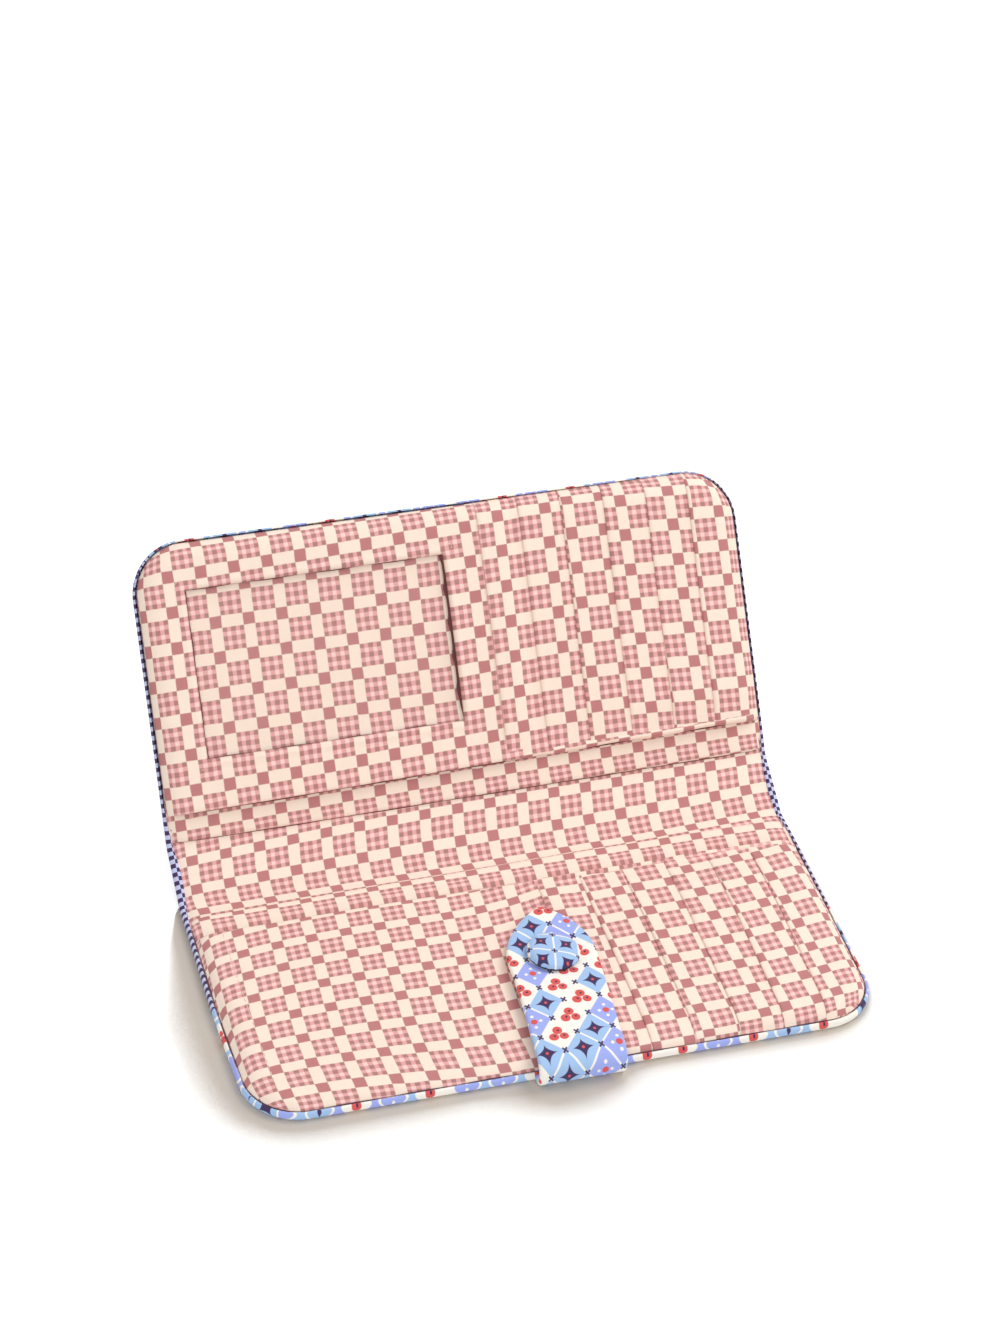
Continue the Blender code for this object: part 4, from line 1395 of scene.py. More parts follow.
@dataclass
class Filling:
    """Wadding in the covers and the spine, and the board behind each pocket stack."""

    def build(self) -> None:
        """Three pieces of wadding and two boards."""
        for label, low, high, body in (("lower", FORM.front + 2.4 * MM, -1.6 * MM, "lower_cover"),
                                       ("spine", 1.6 * MM, FORM.spine - 1.6 * MM, "spine"),
                                       ("upper", FORM.spine + 1.6 * MM, FORM.back - 2.4 * MM,
                                        "upper_cover")):
            piece = self.slab(f"{label}_wadding", low, high, 2.4 * MM, 1.95 * MM, 1.0 * MM,
                              Finish.BATTING)
            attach(piece, body)
            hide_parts(f"{label}_padding")
        for half in Half:
            low, high = sorted((FORM.along(half, np.array(2.0 * MM)),
                                FORM.along(half, np.array(FORM.cover_depth - 3.2 * MM))))
            piece = self.slab(f"{half.value}_board", float(low), float(high), 3.2 * MM,
                              2.45 * MM, 0.4 * MM, Finish.BOARD)
            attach(piece, half.body)
            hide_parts(f"{half.value}_stiffener")

    def slab(self, name: str, low: float, high: float, inset: float, top: float,
             thickness: float, finish: Finish) -> Piece:
        """A flat layer between two places along, cut to the outline less an inset.

        Args:
            name: The piece's name.
            low: Where it starts along.
            high: Where it ends along.
            inset: How far it stays inside the outline.
            top: Height of its face.
            thickness: Its thickness, below the face.
            finish: Its finish.

        Returns:
            The finished piece.
        """
        t = graded((low, high), 4.0 * MM)[:, None]
        wide = FORM.half_width - inset
        x = FORM.squeeze(graded((-wide, wide), 5.0 * MM)[None, :], t, inset)
        t = np.broadcast_to(t, x.shape)
        points = FORM.place(x, t, np.full(x.shape, top))
        piece = mesh_piece(name, points, grid_faces(*x.shape), Lay().coordinates(x, t))
        give_thickness(piece, thickness)
        finish.dress(piece)
        LOG.info("%s", name)
        return piece


@dataclass
class Pockets:
    """Bill pocket and pocket panel of a cover."""

    half: Half
    bill_edge: OpenEdge
    panel_edge: OpenEdge
    bill_lay: Lay
    panel_lay: Lay
    bill_level: float = 3.9 * MM
    panel_level: float = 4.55 * MM
    panel_tuck: float = 0.5 * MM

    def build(self) -> None:
        """Bill pocket and panel, and on the upper cover dark strips of painted shade in their
        openings.
        """
        wide = FORM.half_width - 1.0 * MM
        columns = graded((-wide, -70.0 * MM, 70.0 * MM, wide), 2.2 * MM)
        rows = graded((0.0, 0.12, 0.82, 1.0), 0.024)
        bill = Layer(self.half, f"{self.half.value}_bill_pocket_cloth", self.bill_level,
                     self.bill_edge, self.bill_lay, shows=self.panel_edge.middle + 2.0 * MM)
        x, t = bill.grids(columns, rows)
        piece = cloth(bill.name, x, t, bill.height(x, t), bill.lay, bill.thickness)
        bend_with_fold(piece, self.half)
        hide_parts(f"{self.half.value}_bill_pocket")
        LOG.info("%s", piece.name)
        inner = OpenEdge(self.panel_edge.left + self.panel_tuck,
                         self.panel_edge.middle + self.panel_tuck,
                         self.panel_edge.right + self.panel_tuck)
        panel = Layer(self.half, f"{self.half.value}_pocket_panel_cloth", self.panel_level,
                      inner, self.panel_lay, inset=1.7 * MM, hidden_inset=2.0 * MM, shows=0.0)
        x, t = panel.grids(columns, rows)
        piece = cloth(panel.name, x, t, panel.height(x, t), panel.lay, panel.thickness)
        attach(piece, self.half.body)
        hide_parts(f"{self.half.value}_pocket_panel")
        LOG.info("%s", piece.name)
        if self.half is Half.UPPER:
            # painted shade: dark strips under the two open edges stand for the shade in their gaps
            painted_shade_strip = self.edge_painted_shade("upper_panel_edge_painted_shade", self.panel_edge, 4.02 * MM, 0.36 * MM)
            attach(painted_shade_strip, "upper_cover")
            painted_shade_strip = self.edge_painted_shade("upper_bill_edge_painted_shade", self.bill_edge, 3.36 * MM, 0.24 * MM)
            bend_with_fold(painted_shade_strip, self.half)

    def edge_painted_shade(self, name: str, edge: OpenEdge, level: float, shown: float) -> Piece:
        """A dark strip inside a pocket's open edge, of which a hair shows: painted shade for the
        gap under the edge.

        What shows grows and shrinks along the edge as a slow sine and ends before the seams.

        Args:
            name: The piece's name.
            edge: The pocket's open edge.
            level: The tape's height.
            shown: The width that shows on average.

        Returns:
            The finished piece.
        """
        wide = FORM.half_width - 3.5 * MM
        x = graded((-wide, wide), 1.4 * MM)[None, :]
        share = np.linspace(0.0, 1.0, 5)[:, None]
        ends = smooth((wide - np.abs(x)) / (12.0 * MM))
        hair = shown * ends * (1.0 + 0.3 * np.sin(x / (5.3 * MM)))
        s = edge.at(x) - hair * (1.0 - share) + 1.3 * MM * share
        x = np.broadcast_to(x, s.shape)
        t = FORM.along(self.half, s)
        h = settled(x, t, np.full(s.shape, level))
        piece = mesh_piece(name, FORM.place(x, t, h), grid_faces(*s.shape))
        give_thickness(piece, 0.06 * MM)
        Finish.SLOT_SHADE.dress(piece)
        LOG.info("%s", name)
        return piece


@dataclass
class SlipPocket:
    """The plain pocket left of the lower card slots, with a stitched left border."""

    edge: OpenEdge
    lay: Lay
    right: float = 15.4 * MM
    level: float = 5.2 * MM
    stitched_x: float = -86.2 * MM

    def build(self) -> None:
        """The pocket and its stitches."""
        layer = Layer(Half.LOWER, "lower_slip_pocket_cloth", self.level, self.edge, self.lay)
        wide = FORM.half_width - layer.inset
        columns = graded((-wide, -86.0 * MM, -70.0 * MM, self.right), 2.0 * MM)
        rows = graded((0.0, 0.1, 0.8, 1.0), 0.022)
        x, t = layer.grids(columns, rows)
        piece = cloth(layer.name, x, t, layer.height(x, t), layer.lay, layer.thickness)
        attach(piece, "lower_cover")
        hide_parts("lower_slip_pocket")
        LOG.info("%s", piece.name)
        s = np.linspace(self.edge.left + 1.0 * MM, 83.0 * MM, 60)
        rail = stitch_row("lower_slip_stitches", np.full(len(s), self.stitched_x), -s,
                          layer.height, Finish.ROSE_THREAD)
        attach(rail, "lower_cover")


@dataclass
class CardSlots:
    """Six stepped strips on a cover, their folded edges to the left, and the rolled hem that
    holds their inner ends."""

    half: Half
    first: float
    edge: OpenEdge
    lays: tuple[Lay, ...]
    neighbour_top: float
    pitch: float = 13.4 * MM
    depth: float = 54.0 * MM
    step: float = 0.52 * MM
    low: float = 5.2 * MM
    tuck: float = 5.25 * MM
    ramp: float = 6.0 * MM
    count: int = 6
    border: float = 1.05 * MM

    def rise(self, index: int, x: Grid) -> Grid:
        """How far strip number index stands above the first: one step each, less a step for
        every pitch past the end of the first, and the first climbs on to its neighbour.

        Args:
            index: The strip's number, from 0.
            x: Places across.

        Returns:
            The rise at each place.
        """
        rise = index * self.step - self.step * np.clip(
            (x - self.first - self.depth) / self.pitch, 0.0, None)
        if index == 0:
            share = np.clip((self.first + self.tuck + self.ramp - x) / self.ramp, 0.0, 1.0)
            rise = smooth(share) * (self.neighbour_top + 0.25 * MM + 0.4 * MM - self.low)
        return np.maximum(rise, 0.0)

    def height(self, index: int, x: Grid, t: Grid) -> Grid:
        """Height of a strip's face: the low level plus its rise, pressed flatter at the inner
        hem, run down to the seam along a quarter ellipse, with a turned left edge.

        Args:
            index: The strip's number, from 0.
            x: Places across.
            t: Places along.

        Returns:
            The heights.
        """
        s = FORM.from_fold(self.half, t)
        from_hem = s - self.edge.at(x)
        press = 0.42 + 0.58 * smooth(from_hem / (11.0 * MM))
        open_by = x - (self.first + index * self.pitch)
        fold_ridge = 0.10 * MM * (1.0 - smooth((open_by - 1.2 * MM) / (1.5 * MM)))
        top = self.low + (self.rise(index, x) + fold_ridge) * press
        rise = puff(FORM.depth_in(x, t) - FORM.seam_in(t) - FORM.groove, 7.0 * MM)
        return (FORM.seam_height + (top - FORM.seam_height) * rise
                - turned_edge(open_by) * np.maximum(rise, 0.3))

    def build(self) -> None:
        """Six strips and the hem."""
        wide = FORM.half_width - self.border
        for index in range(self.count):
            left = self.first + index * self.pitch
            right = min(left + self.depth, wide)
            knots = [left, left + 3.0 * MM]
            if index == 0:
                knots.append(self.first + self.tuck + self.ramp)
            knots += [right - 9.0 * MM, right]
            columns = graded(knots, 2.0 * MM)
            rows = graded((0.0, 0.1, 0.8, 1.0), 0.022)
            over = 0.05 * MM + 0.06 * MM * (self.count - 1 - index)
            end = FORM.cover_depth - over - float(FORM.seam_in(FORM.along(
                self.half, np.array(FORM.cover_depth))))
            edge = self.edge.at(columns)[None, :] + 0.4 * MM
            s = edge + (end - edge) * rows[:, None]
            t = FORM.along(self.half, s)
            if right > 78.0 * MM:
                x = FORM.squeeze(columns[None, :], t, FORM.seam_in(t) + over,
                                 max(left, 74.0 * MM))
            else:
                x = np.broadcast_to(columns[None, :], t.shape)
            name = f"{self.half.value}_card_slot_strip_{index + 1}"
            piece = cloth(name, x, t, self.height(index, x, t), self.lays[index], 0.38 * MM)
            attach(piece, self.half.body)
            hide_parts(f"{self.half.value}_card_slot_{index + 1}")
            LOG.info("%s", name)
        self.hem()

    def hem(self) -> None:
        """The rolled hem: a half ellipse carried along the open edge, over the strips' ends."""
        wide = FORM.half_width - 1.6 * MM
        x = graded((self.first - 0.6 * MM, self.first + 6.0 * MM, wide - 8.0 * MM, wide), 1.6 * MM)
        turn = np.linspace(0.0, math.pi, 11)
        rounded = 1.15 * MM + 0.16 * MM * np.sin(x / (4.3 * MM))
        middle = self.edge.at(x) + 0.9 * MM + 0.12 * MM * np.sin(x / (6.1 * MM) + 1.0)
        s = middle[None, :] - rounded[None, :] * np.cos(turn)[:, None]
        order = np.arange(self.count + 1)
        steps = np.interp(x, self.first + self.pitch * order, order.clip(0, self.count - 1))
        stack = steps * self.step - self.step * np.clip(
            (x - self.first - self.depth) / self.pitch, 0.0, None)
        crown = self.low + 0.30 * MM + 0.42 * stack
        low = 4.3 * MM
        t = FORM.along(self.half, s)
        px = np.broadcast_to(x[None, :], s.shape)
        fall = puff(FORM.depth_in(px, t) - 1.5 * MM, 6.0 * MM)
        h = FORM.seam_height + 0.2 * MM + (low - FORM.seam_height
                                           + (crown - low)[None, :] * np.sin(turn)[:, None]) * fall
        name = f"{self.half.value}_slot_hem"
        piece = cloth(name, px, t, h, self.lays[0], 0.3 * MM)
        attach(piece, self.half.body)
        LOG.info("%s", name)


@dataclass
class IdWindow:
    """The frame of cloth round the window on the upper cover, its stitches and the film."""

    edge: OpenEdge
    lay: Lay
    left: float = -79.9 * MM
    right: float = 0.1 * MM
    low: float = 25.0 * MM
    high: float = 75.8 * MM
    end: float = 17.0 * MM
    level: float = 5.75 * MM
    strip: float = 3.0 * MM

    def outside_by(self, x: Grid, s: Grid) -> Grid:
        """Distance outside the opening's rectangle."""
        dx = np.maximum(self.left - x, x - self.right)
        ds = np.maximum(self.low - s, s - self.high)
        return np.where((dx > 0.0) & (ds > 0.0), np.hypot(dx, ds), np.maximum(dx, ds))

    def height(self, x: Grid, t: Grid) -> Grid:
        """The layer's height with a puffed strip round the opening and a stitched groove; the
        strip on the right stands off the film.

        Args:
            x: Places across.
            t: Places along.

        Returns:
            The heights.
        """
        layer = self.layer()
        away = self.outside_by(x, FORM.from_fold(Half.UPPER, t))
        share = np.clip(away / self.strip, 0.0, 1.0)
        swell = 0.42 * MM * np.sin(math.pi * share ** 0.6)
        groove = 0.22 * MM * bump(away, self.strip, 0.6 * MM)
        calm = puff(FORM.depth_in(x, t) - 1.0 * MM, 6.0 * MM)
        s = FORM.from_fold(Half.UPPER, t)
        beside = (smooth((x - self.right + 1.0 * MM) / (1.0 * MM))
                  * (1.0 - smooth((x - self.right - 0.5 * MM) / (6.0 * MM)))
                  * smooth((s - self.low) / (7.0 * MM)) * smooth((self.high - s) / (7.0 * MM)))
        return (layer.height(x, t) + (swell - groove) * calm + 0.45 * MM * beside
                - turned_edge(away, 0.7 * MM))

    def layer(self) -> Layer:
        """The frame as a layer of pocket cloth."""
        return Layer(Half.UPPER, "id_window_frame_cloth", self.level, self.edge, self.lay)

    def build(self) -> None:
        """Frame, stitches and film."""
        layer = self.layer()
        wide = FORM.half_width - layer.inset
        strip = self.strip + 1.0 * MM
        columns = graded((-wide, self.left - strip, self.left, self.right, self.right + strip,
                          self.end), 1.7 * MM)
        end = FORM.cover_depth - layer.inset
        nominal = graded((self.edge.middle, self.low - strip, self.low, self.high,
                          self.high + strip, end), 1.7 * MM)
        edge = self.edge.at(columns)[None, :]
        pull = 1.0 - smooth((nominal[:, None] - self.edge.middle) / (12.0 * MM))
        s = nominal[:, None] + (edge - self.edge.middle) * pull
        t = FORM.along(Half.UPPER, s)
        x = FORM.squeeze(columns[None, :], t, layer.inset, keep=81.0 * MM)
        cx = (columns[:-1] + columns[1:]) / 2
        cs = (nominal[:-1] + nominal[1:]) / 2
        hole = ((cx > self.left) & (cx < self.right))[None, :] & (
            (cs > self.low) & (cs < self.high))[:, None]
        piece = cloth(layer.name, x, t, self.height(x, t), self.lay, layer.thickness, hole)
        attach(piece, "upper_cover")
        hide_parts("id_window_frame")
        LOG.info("%s", piece.name)
        self.film()
        self.painted_shade_strip()
        self.stitches()

    def film(self) -> None:
        """The clear film under the frame, with slow ripples."""
        margin = 5.0 * MM
        x = graded((self.left - margin, self.right + margin), 2.5 * MM)[None, :]
        s = graded((self.low - margin, self.high + margin), 2.5 * MM)[:, None]
        ripple = 0.07 * MM * np.sin(x / (13.0 * MM) + s / (21.0 * MM))
        x, s, h = np.broadcast_arrays(x, s, 5.03 * MM + ripple)
        piece = cloth("id_window_film_sheet", x, FORM.along(Half.UPPER, s), h, Lay(), 0.15 * MM)
        Finish.FILM.dress(piece)
        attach(piece, "upper_cover")
        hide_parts("id_window_film")
        LOG.info("%s", piece.name)

    def painted_shade_strip(self) -> None:
        """Painted shade under the opening's edge: a dark strip that stands for the shade in the
        gap. The frame leaves a hair of it bare, and at the right side, where a card goes in, more:
        most once in each repeat of the check."""
        under = np.linspace(0.0, 1.0, 5)
        s = graded((self.low + 0.2 * MM, self.high - 0.2 * MM), 0.7 * MM)[:, None]
        wave = 0.5 + 0.5 * np.cos(2 * math.pi * (self.high - 10.5 * MM - s) / (10.2 * MM))
        shown = (0.62 + 0.5 * wave ** 3) * MM * smooth((s - self.low) / (6.0 * MM))
        hair = (0.26 + 0.1 * np.sin(s / (2.9 * MM))) * MM
        sides = [(self.right - shown * (1.0 - under) + 2.0 * MM * under, s + 0.0 * under),
                 (self.left - 2.0 * MM * (1.0 - under) + hair * under, s + 0.0 * under)]
        x = graded((self.left, self.right), 0.9 * MM)[:, None]
        hair = (0.10 + 0.13 * np.sin(x / (3.1 * MM))) * MM
        sides += [(x + 0.0 * under, self.high - hair * (1.0 - under) + 2.0 * MM * under),
                  (x + 0.0 * under, self.low - 2.0 * MM * under + hair * (1.0 - under))]
        points, faces, first = [], [], 0
        for x, s in sides:
            t = FORM.along(Half.UPPER, s)
            h = settled(x, t, np.full(x.shape, 5.2 * MM))
            points.append(FORM.place(x, t, h).reshape(-1, 3))
            faces.append(grid_faces(*x.shape, first))
            first += x.size
        piece = mesh_piece("id_window_slot_painted_shade", np.concatenate(points), np.concatenate(faces))
        give_thickness(piece, 0.06 * MM)
        Finish.SLOT_SHADE.dress(piece)
        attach(piece, "upper_cover")
        LOG.info("%s", piece.name)

    def stitches(self) -> None:
        """A line of stitches round the opening."""
        out = self.strip
        x = np.array([self.left - out, self.right + out, self.right + out, self.left - out,
                      self.left - out])
        s = np.array([self.low - out, self.low - out, self.high + out, self.high + out,
                      self.low - out])
        row = stitch_row("id_window_stitches", x, FORM.along(Half.UPPER, s), self.height,
                         Finish.ROSE_THREAD)
        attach(row, "upper_cover")


# ---------------------------------------------------------------- tab and snap


@dataclass
class SnapTab:
    """The padded tab: sewn into the front seam, up round the edge and back over the cover.

    It is a flat closed tube carried along a path; its two pieces meet in the middle of the
    neck.
    """

    middle_x: float = 1.2 * MM
    half: float = 13.25 * MM
    lean: float = math.tan(math.radians(5.3))
    fold_y: float = -46.9 * MM
    level: float = 8.45 * MM
    flap_fold_y: float = -29.4 * MM
    tip_y: float = 15.5 * MM
    nose: float = 1.9 * MM
    cut: float = 0.52 * MM
    point: float = 22.5 * MM
    thick: float = 1.2 * MM
    path: tuple[tuple[float, float], ...] = (
        (-43.6, 1.45), (-44.6, 1.40), (-45.6, 1.30), (-46.6, 1.32), (-47.5, 1.75),
        (-48.15, 2.6), (-48.45, 3.8), (-48.5, 5.0), (-48.2, 6.3), (-47.45, 7.4),
        (-46.2, 8.1), (-44.6, 8.42), (-42.6, 8.45), (-40.4, 8.45), (-38.15, 8.45))

    def line(self, points: Grid, count: int) -> tuple[Grid, Grid]:
        """A smooth run of a path and its directions.

        The points are joined by cubic pieces whose slopes are those of their neighbours.

        Args:
            points: The path's y and z.
            count: How many places are wanted.

        Returns:
            The places and the unit directions at them.
        """
        run = np.concatenate([[0.0], np.cumsum(np.hypot(*np.diff(points, axis=0).T))])
        slopes = np.gradient(points, run, axis=0)
        at = np.linspace(0.0, run[-1], count)
        piece = np.clip(np.searchsorted(run, at, side="right") - 1, 0, len(run) - 2)
        width = (run[piece + 1] - run[piece])[:, None]
        share = (at - run[piece])[:, None] / width
        a, b = points[piece], points[piece + 1]
        da, db = slopes[piece] * width, slopes[piece + 1] * width
        place = ((2 * share ** 3 - 3 * share ** 2 + 1) * a + (share ** 3 - 2 * share ** 2 + share)
                 * da + (3 * share ** 2 - 2 * share ** 3) * b + (share ** 3 - share ** 2) * db)
        way = np.gradient(place, at, axis=0)
        return place, way / np.linalg.norm(way, axis=1)[:, None]

    def half_width(self, y: Grid) -> Grid:
        """Half the width along the level part: full, then on an arc to the point, whose end
        is a small round nose.

        Args:
            y: Places along the level part.

        Returns:
            Half the width at each.
        """
        radius = (self.half ** 2 + self.point ** 2) / (2 * self.half)
        past = np.clip(y - (self.tip_y - self.point - 0.5 * MM), 0.0, None)
        arc = np.sqrt(np.maximum(radius ** 2 - past ** 2, 0.0)) - (radius - self.half)
        into_nose = (y - self.tip_y + self.nose).clip(0.0)
        nose = np.sqrt(np.clip(self.nose ** 2 - into_nose ** 2, 0.0, None))
        return np.where(y > self.tip_y - self.nose, np.minimum(np.maximum(arc, 0.0), nose),
                        np.maximum(arc, 0.0))

    def shell(self, name: str, place: Grid, way: Grid, wide: Grid,
              run: Grid) -> Piece:
        """A flat tube about a path.

        Across it the face stands off the path by the thickness times a superellipse of the
        distance from the side, so the sides are short rounded walls; the face and the back
        make one ring. The face is crowned a little and drawn in round the cap, and the back
        leaves the socket bare. The left side stands out a little at the point's shoulder.

        Args:
            name: The piece's name.
            place: The path.
            way: Its directions.
            wide: Half the width at each place.
            run: Length along the tab at each place, for the fabric's lay.

        Returns:
            The finished piece.
        """
        turn = np.linspace(-1.0, 1.0, 45)
        across = np.sin(turn * math.pi / 2)
        from_side = (1.0 - np.abs(across))[None, :] * wide[:, None]
        share = np.clip(from_side / (1.0 * MM), 0.0, 1.0)
        off = self.thick * (1.0 - (1.0 - share) ** 2.4) ** (1 / 2.4)
        shift = self.middle_x + self.lean * np.maximum(run, 0.0)
        to_tip = self.tip_y - self.fold_y - run
        flare = 1.1 * MM * bump(to_tip, 13.5 * MM, 13.0 * MM)
        x = (across[None, :] * wide[:, None] + shift[:, None]
             + flare[:, None] * np.minimum(across, 0.0)[None, :])
        middle = middle_of("snap_cap")
        from_cap = np.hypot(x - middle.x, place[:, :1] - middle.y)
        dimple = 0.6 * MM * (1.0 - smooth((from_cap - 7.6 * MM) / (3.4 * MM))) * share
        crown = (0.22 * MM * smooth(from_side / (9.0 * MM)) * share
                 * smooth((place[:, 1:] - 2.5 * MM) / (4.0 * MM)))
        middle = middle_of("snap_socket")
        from_socket = np.hypot(x - middle.x, place[:, :1] - middle.y)
        open_by = 1.0 - smooth((from_socket - 6.4 * MM) / (1.5 * MM))
        under = off * (1.0 - open_by) + 0.4 * MM * open_by
        normal = np.stack([-way[:, 1], way[:, 0]], axis=-1)

        def face(side: float) -> Grid:
            """The points of the face, or of the back where side is -1."""
            reach = off + crown - dimple if side > 0.0 else under
            y = place[:, :1] + side * reach * normal[:, :1]
            z = place[:, 1:] + side * reach * normal[:, 1:]
            return np.stack([x, y, z], axis=-1)

        ring = np.concatenate([face(1.0), face(-1.0)[:, -2:0:-1]], axis=1)
        rows, columns = ring.shape[:2]
        corner = np.arange(rows * columns).reshape(rows, columns)
        faces = tube_faces(corner)[:, [0, 3, 2, 1]]
        around = np.concatenate([x, (2 * wide + 2.2 * MM)[:, None]
                                 - (x - shift[:, None])[:, -2:0:-1] + shift[:, None]], axis=1)
        lay = straight_lay(2.0, -4.0, repeat_t=10.0, repeat_x=10.0).coordinates(
            around, np.broadcast_to(run[:, None], around.shape))
        caps = [corner[0, ::-1].tolist(), corner[-1].tolist()]
        side = np.abs(across)[None, :] > 0.93
        held = from_cap < 10.5 * MM
        ends = np.minimum(run - run[0], run[-1] - run)[:, None] < 1.5 * MM
        sewn = side | held | ends
        sewn = np.concatenate([sewn, np.ones_like(sewn[:, -2:0:-1])], axis=1)
        # A face without area stops the solver, so faces that are sewn all round stay out.
        loose = faces[~sewn.ravel()[faces].all(axis=1)]
        ring = inflate(ring.reshape(-1, 3), loose, sewn.ravel(), 0.45 * MM)
        piece = mesh_piece(name, ring, faces, lay, caps)
        outward(piece)
        Finish.PRINT.dress(piece)
        return piece

    def build(self) -> None:
        """Root with half the neck, and half the neck with the flap."""
        place, way = self.line(np.array(self.path) * MM, 70)
        step = np.concatenate([[0.0], np.cumsum(np.hypot(*np.diff(place, axis=0).T))])
        run = step - step[-1] + (place[-1, 0] - self.fold_y)
        root = self.shell("tab_root_and_neck", place, way, np.full(len(run), self.half), run)
        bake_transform(root)
        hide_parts("tab_root", "tab_neck")
        LOG.info("%s", root.name)
        # The flap is cut off a little before its point, where it still has a width.
        y = graded((place[-1, 0], self.flap_fold_y, self.tip_y - self.point,
                    self.tip_y - self.cut), 1.6 * MM)
        sag = -0.15 * MM * smooth((y - self.flap_fold_y - 8.0 * MM) / (34.0 * MM))
        flat = np.stack([y, self.level + sag], axis=-1)
        way = np.gradient(flat, y, axis=0)
        way = way / np.linalg.norm(way, axis=1)[:, None]
        flap = self.shell("tab_flap_and_neck", flat, way, self.half_width(y), y - self.fold_y)
        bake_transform(flap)
        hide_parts("tab_flap_outer", "tab_flap_interfacing", "tab_flap_lining")
        LOG.info("%s", flap.name)
        self.cap()

    def cap(self) -> None:
        """The fabric-covered cap: a dome turned about its middle, gathered a little at its edge,
        where the radius waves 24 times round. Under it lies a dark ring of painted shade, which
        stands for the shade in the gap beneath the cap's edge. The cap tilts a little, so the ring
        shows at the left and in front."""
        middle = middle_of("snap_cap")
        radius, height, base = 8.0 * MM, 2.45 * MM, 9.45 * MM
        share = np.sin(np.linspace(0.02, 1.0, 22) * math.pi / 2)[:, None]
        turn = np.linspace(0.0, 2 * math.pi, 97)[None, :-1]
        r = radius * share
        z = base + height * (1.0 - share ** 4.5) ** (1 / 2.2)
        gather = 0.10 * MM * np.sin(24 * turn) * smooth((share - 0.8) / 0.2)
        x, y = (r + gather) * np.cos(turn), (r + gather) * np.sin(turn)
        z = np.broadcast_to(z, x.shape)
        under = np.stack([0.86 * x[-1], 0.86 * y[-1], z[-1] - 0.1 * MM], axis=-1)
        points = np.concatenate([np.stack([x, y, z], axis=-1), under[None]])
        rings, spokes = points.shape[:2]
        corner = np.arange(rings * spokes).reshape(rings, spokes)
        flat = points.reshape(-1, 3)
        lay = straight_lay(1.0, 5.0, 28.0, 28.0, 10.0, repeat_x=10.0).coordinates(
            flat[:, 0], flat[:, 1])
        tilt = np.array(Matrix.Rotation(math.radians(-3.5), 3, "X")
                        @ Matrix.Rotation(math.radians(4.0), 3, "Y"))

        def lean_over(places: Grid) -> Grid:
            """The places tilted about the cap's middle and brought to it."""
            level = places - np.array([0.0, 0.0, base])
            return level @ tilt.T + np.array([middle.x, middle.y, base + 0.4 * MM])

        piece = mesh_piece("snap_cap_cover", lean_over(flat), tube_faces(corner), lay,
                           [corner[0].tolist(), corner[-1, ::-1].tolist()])
        outward(piece)
        Finish.PRINT.dress(piece)
        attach(piece, "tab_flap")
        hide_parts("snap_cap")
        LOG.info("%s", piece.name)
        # painted shade: a dark ring under the cap's edge stands for the shade in the gap beneath
        # it
        wall = np.array([(7.35, 0.0), (7.5, -0.35), (7.5, -0.9), (7.1, -1.3), (6.0, -1.3),
                         (6.0, 0.0)]) * MM
        ring = np.stack([wall[:, :1] * np.cos(turn), wall[:, :1] * np.sin(turn),
                         np.broadcast_to(base + wall[:, 1:], (len(wall), spokes))], axis=-1)
        corner = np.arange(ring[..., 0].size).reshape(len(wall), spokes)
        corner = np.concatenate([corner, corner[:1]])
        shade_ring = mesh_piece("snap_cap_painted_shade_ring", lean_over(ring.reshape(-1, 3)), tube_faces(corner))
        outward(shade_ring)
        Finish.RIM_SHADE.dress(shade_ring)
        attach(shade_ring, "tab_flap")
        LOG.info("%s", shade_ring.name)


@dataclass
class SnapMetalwork:
    """The bare metal of the snap: its CAD nodes with a nickel finish."""

    nodes: tuple[str, ...] = ("snap_stud", "snap_stud_washer", "snap_socket")

    def dress(self) -> None:
        """Give each node the finish."""
        for name in self.nodes:
            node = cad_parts[name]
            for index in range(len(node.material_slots)):
                node.material_slots[index].material = Finish.METAL.material()
            LOG.info("%s", name)


# ---------------------------------------------------------------- studio


@dataclass(frozen=True)
class Lamp:
    """A square soft lamp that looks at the wallet."""

    name: str
    place: tuple[float, float, float]
    size: float
    power: float

    def hang(self) -> None:
        """Put the lamp up."""
        light = bpy.data.lights.new(self.name, "AREA")
        light.shape = "SQUARE"
        light.size = self.size
        light.energy = self.power
        lamp = bpy.data.objects.new(self.name, light)
        lamp.location = self.place
        aim = Vector((0.0, 0.02, 0.0)) - Vector(self.place)
        lamp.rotation_euler = aim.to_track_quat("-Z", "Y").to_euler()
        bpy.context.scene.collection.objects.link(lamp)


